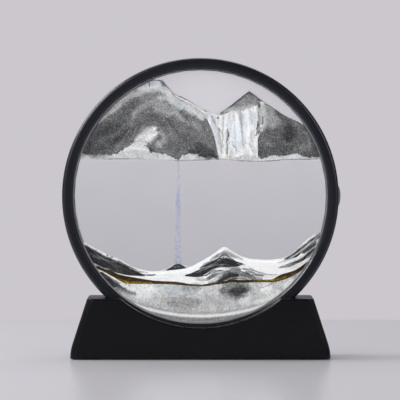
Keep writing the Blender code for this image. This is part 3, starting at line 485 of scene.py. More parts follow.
UPPER_STROKES = [
    # the left mass: bands that arch over the pale patch, from the outer one inwards
    (80, 14, 9, (86, 151), (100, 146), (114, 141)),
    (190, 5, 4, (99, 122), (107, 112), (118, 100), (132, 91)),
    (200, 4, 4, (110, 114), (117, 106), (124, 99), (132, 94)),
    (216, 5, 3.6, (118, 99), (127, 92.6), (136, 87.6)),
    (178, 4, 3.6, (126, 100), (135, 94.6), (145, 92), (158, 91)),
    (98, 6, 6, (98, 143), (112, 131), (122, 118), (132, 105), (142, 99.6)),
    (128, 4, 4, (140, 100), (149, 97), (158, 95)),
    (150, 4, 4, (133, 117), (137, 111), (145, 105), (156, 102), (168, 107)),
    (70, 6, 6, (96, 137), (108, 130), (119, 124)),
    (74, 4, 4, (112, 144), (121, 136), (129, 128)),
    (156, 7, 6, (154, 108), (164, 110), (174, 113)),
    (96, 4, 4, (126, 138), (137, 127), (147, 120), (159, 119.6), (170, 122), (177, 132)),
    (178, 5, 4, (158, 98), (166, 98), (173, 103)),
    (104, 5, 5, (178, 134), (180, 142), (178, 151)),
    (138, 5, 4.5, (184, 121), (196, 126), (207, 130)),
    (156, 4, 3.5, (172, 106), (178, 115), (184, 121)),
    (78, 8, 5, (196, 144), (202, 148), (208, 150)),
    (70, 5, 3.5, (190, 151), (203, 151), (214, 153)),
    (56, 2.2, 1.8, (199, 156), (208, 155.4), (217, 156.4)),
    (222, 12, 3.6, (135, 86), (144, 85), (152, 83), (161, 87)),
    (205, 6, 3.5, (158, 88), (167, 91), (172, 96)),
    (200, 7, 4, (168, 95), (176, 102), (182, 109)),
    (200, 6, 4, (181, 103), (190, 109), (197, 113), (203, 119)),
    (116, 2.4, 2.4, (199, 122), (206, 131), (212, 144)),
    (228, 1.8, 0.9, (170, 88.5), (176, 95), (183, 99.4), (191.6, 103.6), (200, 109), (207, 114.4),
     (211.5, 121), (214, 128)),
    (190, 2.4, 1.8, (184, 103), (192, 107), (200, 112.6), (206, 118)),
    (120, 0.9, 0.5, (149.2, 81), (149.4, 87)),
    (240, 0.8, 0.5, (147.8, 81.5), (148, 87)),
    (60, 1, 0.6, (173, 89.5), (179, 95.6), (186, 98.4)),
    (110, 0.9, 0.6, (186, 98.2), (195, 103.6), (204, 109.8), (212, 113)),
    (216, 0.7, 0.6, (189, 105), (189.4, 111)),
    (214, 0.7, 0.6, (194.5, 109), (195, 115)),
    (206, 0.7, 0.6, (200, 113), (200.6, 119)),
    (206, 0.7, 0.6, (184.6, 101), (184.8, 108)),
    # the pale speckled patch and the mound under it
    (204, 5.4, 5.4, (136, 141), (143, 136), (149, 131), (156, 128)),
    (200, 4, 3.4, (142, 142), (149, 139), (154, 136)),
    (150, 3, 4, (160, 131), (163, 137), (164, 143)),
    (228, 4.6, 5.4, (146, 139), (152, 135.6), (157, 133)),
    (164, 5, 4, (157, 142), (161, 147)),
    (192, 5, 4, (134, 146), (143, 144)),
    (225, 1.8, 1.4, (153, 127), (156, 130)),
    (206, 3, 2, (130, 146), (138, 143), (146, 144)),
    (78, 2, 1.6, (150.5, 146), (151.5, 153)),
    (116, 2.4, 2, (158, 149), (168, 151)),
    # the bright curtain and the marks in it
    (238, 4.5, 2, (232, 122), (233, 134), (236, 146)),
    (250, 4, 2, (248, 112), (249, 124), (249, 136)),
    (250, 3, 2, (236, 113), (237, 124), (238, 140)),
    (205, 1.4, 1.2, (238, 108), (240, 118), (241.6, 128)),
    (188, 1.3, 0.9, (240.6, 110), (241.6, 124), (242.6, 137), (243, 146)),
    (128, 1.7, 0.6, (227.8, 129), (228.2, 136), (227.6, 141)),
    (130, 0.9, 0.5, (227.4, 140), (227, 147), (226.6, 154)),
    (128, 1.2, 0.8, (217, 117.4), (218.6, 119.4)),
    (128, 0.9, 0.6, (218.6, 127.4), (219.6, 130), (220.6, 133.4)),
    (176, 1, 0.8, (209, 113), (213, 120), (218, 131), (221, 144), (222, 156)),
    (196, 0.9, 0.8, (213, 116), (216.6, 126), (219.4, 140), (220.6, 154)),
    (186, 1, 0.8, (224.4, 113), (222.6, 124), (222.6, 140), (222.4, 152)),
    (188, 0.9, 0.7, (231.6, 141.6), (234.6, 146), (237, 151)),
    (206, 1.6, 1.2, (246, 143), (251, 146), (252.6, 152)),
    (196, 0.9, 0.8, (251.8, 129), (251.6, 136), (252, 143)),
    (200, 2, 1.4, (226, 156.4), (231, 157)),
    (198, 3, 2, (234, 158), (246, 157), (256, 158)),
    (250, 1, 0.6, (237, 155.4), (243, 153.6)),
    (236, 0.9, 0.5, (255.4, 112), (257, 120), (256.8, 136), (255.8, 146)),
    # the grey cap
    (118, 3, 2, (243, 98), (249, 95.4), (254, 98.4)),
    (132, 1.6, 1.2, (226, 111.6), (232, 107.4)),
    (72, 0.9, 0.6, (222, 112.8), (231, 106.2), (240, 99.6), (249, 92.6), (257, 98.2)),
    (176, 2.6, 2.4, (224, 112), (231, 109.6), (239, 108.8), (247, 107), (254, 104.4)),
    (160, 3, 3, (262, 100), (271, 105.6), (281, 112)),
    # the right mass
    (190, 8, 5, (261, 103), (263, 112), (263, 122), (261, 130)),
    (152, 10, 8, (270, 109), (274, 118), (272, 127)),
    (128, 5, 4, (284, 116), (295, 121), (304, 127)),
    (180, 1.4, 1, (260.6, 110), (263.4, 108), (267.6, 106.6)),
    (66, 1.2, 0.6, (258.6, 104), (259.6, 108)),
    (216, 1.6, 1.2, (261, 101.6), (264, 104)),
    (150, 1.2, 1, (259, 114), (259.6, 124), (260, 132)),
    (244, 0.9, 0.5, (261.2, 125.4), (261.8, 127)),
    (240, 0.9, 0.5, (262.2, 129.6), (262.4, 131)),
    (64, 0.9, 0.5, (262.4, 116), (262.6, 124)),
    (50, 0.9, 0.5, (257.2, 121), (257.6, 128), (256.6, 136)),
    (226, 1, 0.6, (256.6, 138.6), (258.6, 136), (260, 133)),
    (62, 9, 6, (288, 126), (289, 133), (287, 141)),
    (92, 4, 4, (276, 111), (284, 118), (293, 124)),
    (140, 1.8, 1.4, (303.6, 130.8), (307.6, 136), (310, 144), (309, 150)),
    (74, 1.4, 1.2, (309, 131), (313.6, 140), (317, 149)),
    (124, 3, 2.6, (262, 138), (266, 142), (272, 146)),
    (78, 2.4, 1.8, (259.6, 145), (260.4, 151), (260.8, 157)),
    (128, 3, 2.6, (300, 148), (306, 146)),
    (84, 5, 4, (268, 150), (280, 150), (293, 147)),
]

# Bubbles, the mound of pale sand and its spots, along the meniscus
BUBBLE_STROKES = [
    (226, 3, 1.6, (113, 155), (120, 151), (130, 148), (141, 148.4), (149, 151)),
    (236, 0.9, 0.6, (115, 151.6), (123, 149.8), (125, 146.2), (137.4, 144.6), (146, 146.4)),
    (118, 0.9, 0.6, (84, 159.4), (96, 160.2), (110, 159.2), (124, 159), (140, 159.4), (156, 160.4),
     (172, 161), (186, 160.4)),
    (126, 0.9, 0.6, (186, 160.4), (200, 160.2), (214, 159.6), (228, 160.4), (244, 161), (258, 161.4)),
    (126, 0.9, 0.6, (258, 161.4), (270, 161), (284, 160), (300, 159.6), (318, 159)),
    (170, 1, 0.9, (196, 157.4), (204, 158.2)),
    (244, 0.9, 0.6, (206, 158), (212, 157.2), (218, 158.2)),
    (244, 1, 0.6, (259, 159.6), (263, 159.8)),
    (216, 3, 2, (292, 155.6), (308, 154), (317, 155)),
]

# Brown, gold and black places along the coloured layer: brightness 0 to 255, as above
GOLD_STROKES = [
    (36, 3, 1.6, (102, 270.4), (110, 273.8), (119, 277), (128, 279), (140, 280.4), (158, 282)),
    (190, 1.4, 1.2, (104, 273.6), (111, 276.6), (118, 279.6), (126, 282.2), (136, 283.2)),
    (136, 1.6, 1, (118, 280.4), (127, 282.6), (140, 283), (152, 283.2)),
    (236, 1.2, 0.8, (125.5, 281.8), (129, 283.4)),
    (90, 1.1, 0.7, (156, 283.2), (176, 283.8), (186, 284.6)),
    (50, 0.7, 0.8, (166, 281.6), (178, 282.6), (188, 283.6)),
    (110, 1, 0.6, (186, 284.4), (197, 285.2), (209, 284.6)),
    (26, 1.6, 0.8, (213, 283.6), (224, 282.2), (233, 280.6), (244, 281), (252, 281)),
    (135, 1, 0.5, (253, 281.2), (262, 281), (271, 280.6), (277, 278.8)),
    (140, 2, 1, (270, 280.4), (279, 279), (286, 277)),
    (40, 2.2, 1.2, (276, 277), (284, 274.6), (292, 272.4)),
    (10, 3.2, 1.4, (292, 272.6), (302, 266.6), (311, 259.6)),
]

# Places with a blue cast: strength, width and softness in pixels, then the points
TINT_STROKES = [
    (0.75, 4, 4, (166, 292), (174, 293)),
    (0.45, 6, 4, (170, 288), (200, 289)),
    (0.50, 4, 3, (143, 84), (158, 84), (166, 90)),
    (0.55, 4, 3, (176, 99), (181, 112)),
    (0.55, 3, 2, (204, 112), (214, 122), (219, 145)),
    (0.95, 1.8, 1.6, (240.6, 110), (242, 128), (243, 150)),
    (0.45, 9, 6, (232, 120), (236, 150)),
    (0.45, 5, 4, (250, 112), (250, 126)),
    (0.90, 2.2, 1.4, (161, 155.4), (164, 155.8)),
    (0.18, 8, 5, (112, 156), (150, 154), (190, 156)),
    (0.18, 8, 5, (270, 158), (315, 156)),
]


# Small helpers


def from_photo(points):
    """Points of the photograph as (x, z) in millimetres from the disc's axis."""
    pixels = np.array(points, float)
    return np.stack([(pixels[:, 0] - PHOTO_AXIS[0]) * PHOTO_PIXEL,
                     (PHOTO_AXIS[1] - pixels[:, 1]) * PHOTO_PIXEL], axis=1)


def step_between(low, high, value):
    """Smooth rise from 0 at low to 1 at high."""
    share = np.clip((value - low) / (high - low), 0.0, 1.0)
    return share * share * (3.0 - 2.0 * share)


def smooth_line(drawn):
    """Height, in millimetres, of a smooth line that never swings past its drawn points."""
    points = np.array(drawn, float) * DRAWING_SCALE
    spans = np.diff(points[:, 0])
    steps = np.diff(points[:, 1]) / spans
    slopes = np.zeros(len(points))
    slopes[0], slopes[-1] = steps[0], steps[-1]
    same_way = steps[:-1] * steps[1:] > 0.0
    total = np.where(same_way, steps[:-1] + steps[1:], 1.0)
    slopes[1:-1] = np.where(same_way, 2.0 * steps[:-1] * steps[1:] / total, 0.0)

    def height(x):
        x = np.clip(x, points[0, 0], points[-1, 0])
        index = np.clip(np.searchsorted(points[:, 0], x) - 1, 0, len(spans) - 1)
        span = spans[index]
        t = (x - points[index, 0]) / span
        start = (1 + 2 * t) * (1 - t) ** 2 * points[index, 1] + t * (1 - t) ** 2 * span * slopes[index]
        end = t * t * (3 - 2 * t) * points[index + 1, 1] + t * t * (t - 1) * span * slopes[index + 1]
        return start + end

    return height


def ends_of(drawn):
    """Where a drawn line starts and ends along X."""
    return drawn[0][0] * DRAWING_SCALE, drawn[-1][0] * DRAWING_SCALE


def wall_height(x):
    """Height of the chamber's round wall above the disc's axis."""
    return np.sqrt(np.maximum(FILL_RADIUS ** 2 - x * x, 0.0))


def clouds(x, z, size, seed):
    """Smooth seeded noise from 0 to 1, with features of about this size."""
    lattice = np.random.RandomState(seed).rand(LATTICE + 1, LATTICE + 1)
    u = np.asarray(x, float) / size + LATTICE / 2
    v = np.asarray(z, float) / size + LATTICE / 2
    column = np.floor(u).astype(int)
    row = np.floor(v).astype(int)
    across = step_between(0.0, 1.0, u - column)
    up = step_between(0.0, 1.0, v - row)
    column %= LATTICE
    row %= LATTICE
    low = lattice[column, row] * (1 - across) + lattice[column + 1, row] * across
    high = lattice[column, row + 1] * (1 - across) + lattice[column + 1, row + 1] * across
    return low * (1 - up) + high * up


def mottle(x, z, size, seed):
    """The same noise about zero, from -0.5 to 0.5."""
    return clouds(x, z, size, seed) - 0.5


def distance_to(line, x, z):
    """Distance from each place to a line of points, and how far along the line the nearest point lies."""
    nearest = np.full(x.shape, np.inf)
    travel = np.zeros(x.shape)
    for index, ((x0, z0), (x1, z1)) in enumerate(zip(line, line[1:])):
        along = np.array((x1 - x0, z1 - z0))
        share = ((x - x0) * along[0] + (z - z0) * along[1]) / max(along @ along, 1e-9)
        share = np.clip(share, 0.0, 1.0)
        away = np.hypot(x - x0 - share * along[0], z - z0 - share * along[1])
        travel = np.where(away < nearest, (index + share) / (len(line) - 1), travel)
        nearest = np.minimum(nearest, away)
    return nearest, travel


def curve_through(points):
    """A smooth curve through given points."""
    if len(points) < 3:
        return points
    padded = np.vstack([2 * points[0] - points[1], points, 2 * points[-1] - points[-2]])
    curve = []
    for before, start, end, after in zip(padded, padded[1:], padded[2:], padded[3:]):
        for step in range(CURVE_STEPS):
            t = step / CURVE_STEPS
            curve.append(0.5 * (2 * start + (end - before) * t
                                + (2 * before - 5 * start + 4 * end - after) * t * t
                                + (3 * start - before - 3 * end + after) * t ** 3))
    curve.append(points[-1])
    return np.array(curve)


def unevenness(x, z, seed):
    """Coarse and fine noise about zero."""
    return clouds(x, z, 2.2, seed) + 0.5 * clouds(x, z, 1.0, seed + 1) - 0.75


def apply_strokes(values, strokes, x, z, waver=0.0):
    """Lay strokes over the values, each blending towards its own value. Waver roughens their edges."""
    x = x + waver * unevenness(x, z, 21)
    z = z + waver * unevenness(x, z, 23)
    for value, width, softness, *points in strokes:
        away, travel = distance_to(curve_through(from_photo(points)), x, z)
        taper = TIP_WIDTH + (1.0 - TIP_WIDTH) * np.sqrt(np.sin(np.pi * travel))
        away = away / PHOTO_PIXEL / taper
        core = max(width - softness, 0.0) / 2.0
        cover = np.exp(-(np.maximum(away - core, 0.0) / (EDGE_SPREAD * softness)) ** 2)
        values = values + (value - values) * cover
    return values


# Materials


def new_material(name):
    material = bpy.data.materials.new(name)
    material.use_nodes = True
    material.node_tree.nodes.clear()
    return material, material.node_tree


def set_socket(tree, socket, value):
    """Link a socket to another node's output, or set its constant value."""
    if isinstance(value, bpy.types.NodeSocket):
        tree.links.new(value, socket)
    else:
        socket.default_value = value


def add_node(tree, kind, values=None, **settings):
    node = tree.nodes.new(kind)
    for key, value in settings.items():
        setattr(node, key, value)
    for key, value in (values or {}).items():
        set_socket(tree, node.inputs[key], value)
    return node


def finish_material(tree, shader):
    add_node(tree, "ShaderNodeOutputMaterial", {"Surface": shader})


def finish_principled(tree, colour, roughness, specular=0.5, normal=None, metallic=0.0):
    values = {"Base Color": colour, "Roughness": roughness, "Specular IOR Level": specular,
              "Metallic": metallic}
    if normal is not None:
        values["Normal"] = normal
    finish_material(tree, add_node(tree, "ShaderNodeBsdfPrincipled", values).outputs[0])


def rgba(colour, level=1.0):
    """A colour at some level, with full cover."""
    return (*[min(1.0, part * level) for part in colour], 1.0)


def shades(colour, levels):
    """The same colour at two levels."""
    return [rgba(colour, level) for level in levels]


def calculate(tree, operation, first, second=0.0, third=0.0, clamp=False):
    return add_node(tree, "ShaderNodeMath", {0: first, 1: second, 2: third}, operation=operation,
                    use_clamp=clamp).outputs[0]


def mix_colours(tree, share, first, second, blend="MIX"):
    node = add_node(tree, "ShaderNodeMix", {0: share}, data_type="RGBA", blend_type=blend)
    set_socket(tree, node.inputs[6], first)
    set_socket(tree, node.inputs[7], second)
    return node.outputs[2]


def mix_shaders(tree, share, first, second):
    return add_node(tree, "ShaderNodeMixShader", {0: share, 1: first, 2: second}).outputs[0]


def object_place(tree):
    return add_node(tree, "ShaderNodeTexCoord").outputs["Object"]


def attribute(tree, name):
    """A value that the mesh carries at each vertex."""
    return add_node(tree, "ShaderNodeAttribute", attribute_name=name).outputs["Fac"]


def facing(tree):
    """0 where a face is seen head on, and 1 where it is seen at a slant."""
    return add_node(tree, "ShaderNodeLayerWeight", {"Blend": 0.5}).outputs["Facing"]


def noise(tree, scale, detail=2.0, roughness=0.5):
    values = {"Vector": object_place(tree), "Scale": scale, "Detail": detail, "Roughness": roughness}
    return add_node(tree, "ShaderNodeTexNoise", values).outputs["Fac"]


def cells(tree, scale):
    return add_node(tree, "ShaderNodeTexVoronoi", {"Vector": object_place(tree), "Scale": scale}).outputs


def bump(tree, height, distance, strength):
    values = {"Height": height, "Distance": distance, "Strength": strength}
    return add_node(tree, "ShaderNodeBump", values).outputs["Normal"]


def map_range(tree, value, low, high, new_low=0.0, new_high=1.0):
    values = {"Value": value, "From Min": low, "From Max": high, "To Min": new_low, "To Max": new_high}
    return add_node(tree, "ShaderNodeMapRange", values).outputs["Result"]


def spread(tree, pattern, low=0.0, high=1.0):
    """Stretch the range in which most of a noise pattern lies, from low to high."""
    return map_range(tree, pattern, *NOISE_RANGE, low, high)


def make_plastic(name, colour, roughness, grain, specular):
    """Moulded black plastic: satin, with a fine even texture and faint handling marks."""
    material, tree = new_material(name)
    fine = noise(tree, *PLASTIC_TEXTURE)
    broad = noise(tree, *HANDLING_MARKS)
    rough = spread(tree, broad, roughness - SMOOTHER, roughness + PLASTIC_ROUGHER)
    shade = mix_colours(tree, map_range(tree, fine, *PLASTIC_SHADE_RANGE), *shades(colour, PLASTIC_SHADES))
    finish_principled(tree, shade, rough, specular, bump(tree, fine, grain, PLASTIC_BUMP_STRENGTH))
    return material


def make_clear(name, tint, head_on, roughness, veil, haze_colour, slant, low_tint=None):
    """A clear body: light passes straight through, and more of it is reflected at a slant.

    A low tint is that of the bottom of the liquid, and the tint clears from there up to the surface.
    """
    material, tree = new_material(name)
    fifth = calculate(tree, "POWER", facing(tree), 5.0)
    mirror = calculate(tree, "MULTIPLY_ADD", fifth, slant - head_on, head_on)
    smear = spread(tree, noise(tree, *GLASS_SMEARS))
    passed = mix_colours(tree, smear, *shades(tint, SMEAR_SHADES))
    if low_tint:
        height = add_node(tree, "ShaderNodeSeparateXYZ", {"Vector": object_place(tree)}).outputs["Z"]
        rise = map_range(tree, height, LIQUID_BOTTOM, LIQUID_SURFACE)
        passed = mix_colours(tree, rise, rgba(low_tint), passed)
    clear = add_node(tree, "ShaderNodeBsdfTransparent", {"Color": passed}).outputs[0]
    gloss = add_node(tree, "ShaderNodeBsdfAnisotropic", {"Color": rgba(WHITE_LIGHT), "Roughness": roughness})
    if veil:
        haze = add_node(tree, "ShaderNodeBsdfDiffuse", {"Color": rgba(haze_colour)})
        clear = mix_shaders(tree, veil, clear, haze.outputs[0])
    finish_material(tree, mix_shaders(tree, mirror, clear, gloss.outputs[0]))
    return material


def make_sand():
    """Black, white and gold grains. The share of pale grains comes from the pattern on the mesh."""
    material, tree = new_material("sand")
    tone = attribute(tree, "tone")
    gold = attribute(tree, "gold")
    blue = attribute(tree, "blue")
    grains = cells(tree, GRAIN_SCALE)
    split = add_node(tree, "ShaderNodeSeparateColor", {"Color": grains["Color"]}).outputs
    clumps = calculate(tree, "SUBTRACT", noise(tree, *GRAIN_CLUMPS), 0.5)
    mixed_zone = calculate(tree, "MULTIPLY", tone, calculate(tree, "SUBTRACT", CLUMPING_END, tone))
    share = calculate(tree, "MULTIPLY_ADD", clumps, calculate(tree, "MULTIPLY", mixed_zone, CLUMPING), tone)
    over = calculate(tree, "SUBTRACT", share, split["Red"])
    single = calculate(tree, "MULTIPLY_ADD", over, GRAIN_SHARPNESS, 0.5, clamp=True)
    lift = calculate(tree, "MULTIPLY", calculate(tree, "SUBTRACT", single, share), GRAIN_CONTRAST)
    pale = calculate(tree, "ADD", share, lift, clamp=True)
    pale_sand = mix_colours(tree, blue, rgba(PALE_GRAIN), rgba(BLUE_GRAIN))
    black_and_white = mix_colours(tree, pale, rgba(DARK_GRAIN), pale_sand)
    gold_sand = mix_colours(tree, pale, rgba(DARK_GOLD), rgba(BRIGHT_GOLD))
    colour = mix_colours(tree, gold, black_and_white, gold_sand)
    gleam = calculate(tree, "MULTIPLY_ADD", split["Green"], MORE_GLEAM, LEAST_GLEAM)
    colour = mix_colours(tree, 1.0, colour, gleam, "MULTIPLY")
    rough = map_range(tree, split["Blue"], 0.0, 1.0, *GRAIN_ROUGHNESS)
    finish_principled(tree, colour, rough, GRAIN_MIRROR, bump(tree, grains["Distance"], *GRAIN_BUMP))
    return material


def make_silicone(name, colour, roughness):
    material, tree = new_material(name)
    fine = noise(tree, *SILICONE_TEXTURE)
    patches = spread(tree, noise(tree, *SILICONE_PATCHES))
    shade = mix_colours(tree, patches, *shades(colour, SILICONE_SHADES))
    rough = spread(tree, fine, roughness - SMOOTHER, roughness + SILICONE_ROUGHER)
    finish_principled(tree, shade, rough, normal=bump(tree, fine, *SILICONE_BUMP))
    return material


def make_foam():
    material, tree = new_material("foot_foam")
    bubbles = cells(tree, FOAM_SCALE)["Distance"]
    shade = mix_colours(tree, bubbles, *map(rgba, FOAM_COLOURS))
    finish_principled(tree, shade, FOAM_ROUGHNESS, normal=bump(tree, bubbles, *FOAM_BUMP))
    return material


def make_steel():
    material, tree = new_material("screw_steel")
    fine = noise(tree, *STEEL_TEXTURE)
    shade = mix_colours(tree, fine, *map(rgba, STEEL_COLOURS))
    finish_principled(tree, shade, spread(tree, fine, *STEEL_ROUGHNESS), metallic=1.0)
    return material


def make_stream_material():
    """Grains falling so thinly that the backdrop shows through: a faint lavender-blue."""
    material, tree = new_material("falling_grains")
    through = calculate(tree, "POWER", calculate(tree, "SUBTRACT", 1.0, facing(tree)), STREAM_EDGE_POWER)
    patches = map_range(tree, noise(tree, *STREAM_PATCHES), *STREAM_PATCH_RANGE)
    density = calculate(tree, "MULTIPLY", attribute(tree, "fall"), patches)
    cover = calculate(tree, "MULTIPLY", density, through)
    clear = add_node(tree, "ShaderNodeBsdfTransparent").outputs[0]
    grains = add_node(tree, "ShaderNodeBsdfDiffuse", {"Color": rgba(FALLING_GRAIN)}).outputs[0]
    finish_material(tree, mix_shaders(tree, cover, clear, grains))
    return material


# Pieces


def add_object(name, data):
    item = bpy.data.objects.new(name, data)
    bpy.context.scene.collection.objects.link(item)
    return item


def mesh_object(name, vertices, faces):
    mesh = bpy.data.meshes.new(name)
    mesh.from_pydata(vertices, [], faces)
    form = bmesh.new()
    form.from_mesh(mesh)
    bmesh.ops.recalc_face_normals(form, faces=form.faces)
    form.to_mesh(mesh)
    form.free()
    return add_object(name, mesh)


def shade_smooth(piece, sharp_from=None):
    """Shade smoothly, but for edges that turn by more than an angle in degrees."""
    piece.data.shade_smooth()
    if sharp_from:
        piece.data.set_sharp_from_angle(angle=math.radians(sharp_from))


def skin(rings, count, closed=False):
    """Faces of a skin over rings of vertices, closed in itself or capped at both ends."""
    faces = []
    for ring in range(rings if closed else rings - 1):
        start = ring * count
        following = (ring + 1) % rings * count
        for index in range(count):
            after = (index + 1) % count
            faces.append((start + index, start + after, following + after, following + index))
    if not closed:
        faces.append(tuple(range(count)))
        faces.append(tuple(range((rings - 1) * count, rings * count))[::-1])
    return faces


def paint(piece, material):
    piece.data.materials.clear()
    piece.data.materials.append(material)


def dress(piece, body, material, slot, *nodes):
    """Paint a piece, and let it ride in place of its CAD nodes."""
    paint(piece, material)
    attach(piece, body)
    if nodes:
        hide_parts(*nodes)


def arc(centre, radius, start, end, steps):
    angles = [math.radians(start + (end - start) * step / steps) for step in range(steps + 1)]
    return [(centre[0] + radius * math.cos(angle), centre[1] + radius * math.sin(angle)) for angle in angles]


def bezel_section(tongue):
    """Closed section (radius, depth) of one bezel, with its lip at the viewer's side."""
    inside = RING_RADIUS - BEZEL_WALL
    lip = RING_RADIUS - LIP_WIDTH
    parting = -GAP / 2.0
    if tongue:
        tip = TONGUE_LENGTH - GAP
        joint = [(inside + TONGUE_THICKNESS, parting), (inside + TONGUE_THICKNESS, tip), (inside, tip)]
    else:
        rebate = inside + TONGUE_THICKNESS + GAP
        joint = [(rebate, parting), (rebate, -TONGUE_LENGTH), (inside, -TONGUE_LENGTH)]
    shoulder = [(inside, LIP_THICKNESS - HALF_DEPTH), (lip, LIP_THICKNESS - HALF_DEPTH)]
    lip_edge = []
    for step in range(EDGE_STEPS + 1):
        angle = math.pi / 2.0 * step / EDGE_STEPS
        sides = (max(side, 0.0) for side in (math.cos(angle), math.sin(angle)))
        across, ahead = (side ** (2.0 / LIP_CHAMFER_POWER) for side in sides)
        lip_edge.append((lip + LIP_CHAMFER * (1.0 - across), LIP_CHAMFER * (1.0 - ahead) - HALF_DEPTH))
    outer = arc((RING_RADIUS - RING_EDGE_RADIUS, RING_EDGE_RADIUS - HALF_DEPTH), RING_EDGE_RADIUS,
                -90.0, 0.0, EDGE_STEPS)
    seam = arc((RING_RADIUS - SEAM_RADIUS, parting - SEAM_RADIUS), SEAM_RADIUS, 0.0, 90.0, SEAM_STEPS)
    return joint + shoulder + lip_edge + outer + seam


def turned_piece(name, section, flip):
    """Turn a closed section (radius, depth) about the disc's axis."""
    vertices = []
    for turn in range(RING_SEGMENTS):
        angle = 2.0 * math.pi * turn / RING_SEGMENTS
        for radius, depth in section:
            vertices.append((radius * math.cos(angle) * MM, depth * flip * MM,
                             (DISC_AXIS_Z + radius * math.sin(angle)) * MM))
    piece = mesh_object(name, vertices, skin(RING_SEGMENTS, len(section), closed=True))
    shade_smooth(piece, BEZEL_SHARP)
    return piece


def cut_refill_hole(piece):
    """Cut the refill hole through the rim at three o'clock."""
    form = bmesh.new()
    bmesh.ops.create_cone(form, cap_ends=True, segments=BORE_SIDES, radius1=PLUG_BORE_RADIUS * MM,
                          radius2=PLUG_BORE_RADIUS * MM, depth=BORE_CUTTER_LENGTH * MM)
    mesh = bpy.data.meshes.new("refill_bore")
    form.to_mesh(mesh)
    form.free()
    cutter = add_object("refill_bore", mesh)
    cutter.rotation_euler = (0.0, math.pi / 2.0, 0.0)
    cutter.location = (RING_RADIUS * MM, 0.0, DISC_AXIS_Z * MM)
    piece.modifiers.new("refill_hole", "BOOLEAN").object = cutter
    bpy.context.view_layer.update()
    shape = bpy.data.meshes.new_from_object(piece.evaluated_get(bpy.context.evaluated_depsgraph_get()))
    piece.modifiers.clear()
    piece.data = shape
    bpy.data.objects.remove(cutter)
    shade_smooth(piece, BEZEL_SHARP)


def polish_edges(piece, polished):
    """Give the rounded edges, whose faces lean, the smoother finish."""
    piece.data.materials.append(polished)
    for face in piece.data.polygons:
        if EDGE_LEAN < abs(face.normal.y) < 1.0 - EDGE_LEAN:
            face.material_index = 1


def make_bezels(plastic, polished):
    for name, tongue, flip, node in (("front_bezel_shell", True, 1.0, "front_bezel"),
                                     ("rear_bezel_shell", False, -1.0, "rear_bezel")):
        piece = turned_piece(name, bezel_section(tongue), flip)
        cut_refill_hole(piece)
        dress(piece, "sand_disc", plastic, "black_plastic", node)
        polish_edges(piece, polished)


# Sand


def paint_sand(piece, layer):
    """Work out how pale, golden and blue the sand is at each vertex."""
    mesh = piece.data
    places = np.empty(len(mesh.vertices) * 3, np.float32)
    mesh.vertices.foreach_get("co", places)
    x, y, z = (places.reshape(-1, 3).astype(float) / MM).T
    z = z - DISC_AXIS_Z
    near, deep = MIX_DEPTHS
    inside = step_between(FILL_HALF_DEPTH - near, FILL_HALF_DEPTH - deep, np.abs(y))
    shifted = x + DEPTH_MIX * inside * (clouds(x, y, 1.3, 28) + clouds(x, y, 3.0, 29) - 1.0)
    held = layer.startswith("held")
    if not held:
        ridge = smooth_line(DUNE_RIDGE)
        z = z + ridge(shifted) - ridge(x)
    x = shifted
    grey = np.full(len(x), float(LAYER_GREYS[layer]))
    if held:
        grey = held_greys(grey, layer, x, z)
    elif layer == "gold_layer":
        grey = apply_strokes(grey, GOLD_STROKES, x, z) + GOLD_SPECKS * mottle(x, z, 0.9, 7)
    else:
        grey = fallen_greys(grey, layer, x, z)
    linear = np.clip(grey / WHITE, 0.0, 1.0) ** DISPLAY_GAMMA
    darkest = DARK_GRAIN[1]
    set_values(mesh, "tone", np.clip((linear - darkest) / (PALE_GRAIN[1] - darkest), 0.0, 1.0))
    set_values(mesh, "gold", np.full(len(x), float(layer == "gold_layer")))
    set_values(mesh, "blue", apply_strokes(np.zeros(len(x)), TINT_STROKES, x, z))


def held_greys(grey, layer, x, z):
    """Greys of the sand and bubbles that are still held up."""
    grey = grey + HELD_PATCHES * mottle(x + 0.6 * z, z - 0.6 * x, 5.0, 3)
    grey = apply_strokes(grey, UPPER_STROKES, x, z, HELD_WAVER)
    grey = grey + HELD_MOTTLE * mottle(x, z, 1.6, 4)
    if layer == "held_curtain":
        grey = grey + CURTAIN_STREAKS * (clouds(x, z * 0.14, 0.8, 5) - 0.6)
    if layer == "held_left_sand":
        across, up = x - ARCH_CENTRE[0], z - ARCH_CENTRE[1]
        grey = grey + ARCH_STREAKS * mottle(np.arctan2(up, across) * 6.0, np.hypot(across, up), 1.1, 31)
    if layer == "held_bubbles":
        return apply_strokes(grey, BUBBLE_STROKES, x, z)
    return grey + HELD_SPECKS * mottle(x, z, 0.9, 6)


def fallen_greys(grey, layer, x, z):
    """Greys of a fallen layer, with fine streaks that run along a ridge."""
    grey = grey + FALLEN_PATCHES * mottle(x + 0.5 * z, z * 2.2, 4.0, 8)
    below, streaks = ridge_streaks(x, z, STREAK_GUIDES.get(layer, DUNE_RIDGE))
    if layer == "fallen_heap":
        grey = apply_strokes(grey, HEAP_STROKES, x, z)
    elif layer == "white_bed":
        grey = apply_strokes(bed_greys(grey, x, z), LOWER_STROKES, x, z, BED_WAVER)
    else:
        grey = apply_strokes(grey, LOWER_STROKES, x, z, FALLEN_WAVER)
    if layer == "white_crest":
        near_apex = np.exp(-((x - APEX_X) / APEX_REACH) ** 4) * step_between(*APEX_DEPTHS, below)
        grey = grey - APEX_STRENGTH * near_apex * step_between(*APEX_STREAKS, streaks)
    grey = grey + STREAKS.get(layer, 0.0) * (streaks - 0.5) * (1.2 - grey / WHITE)
    grey = grey + FALLEN_MOTTLE * mottle(x, z * 1.6, 1.3, 9)
    if layer == "white_bed":
        grey = grey + BED_SPECKS * mottle(x, z, 0.8, 27)
    return grey


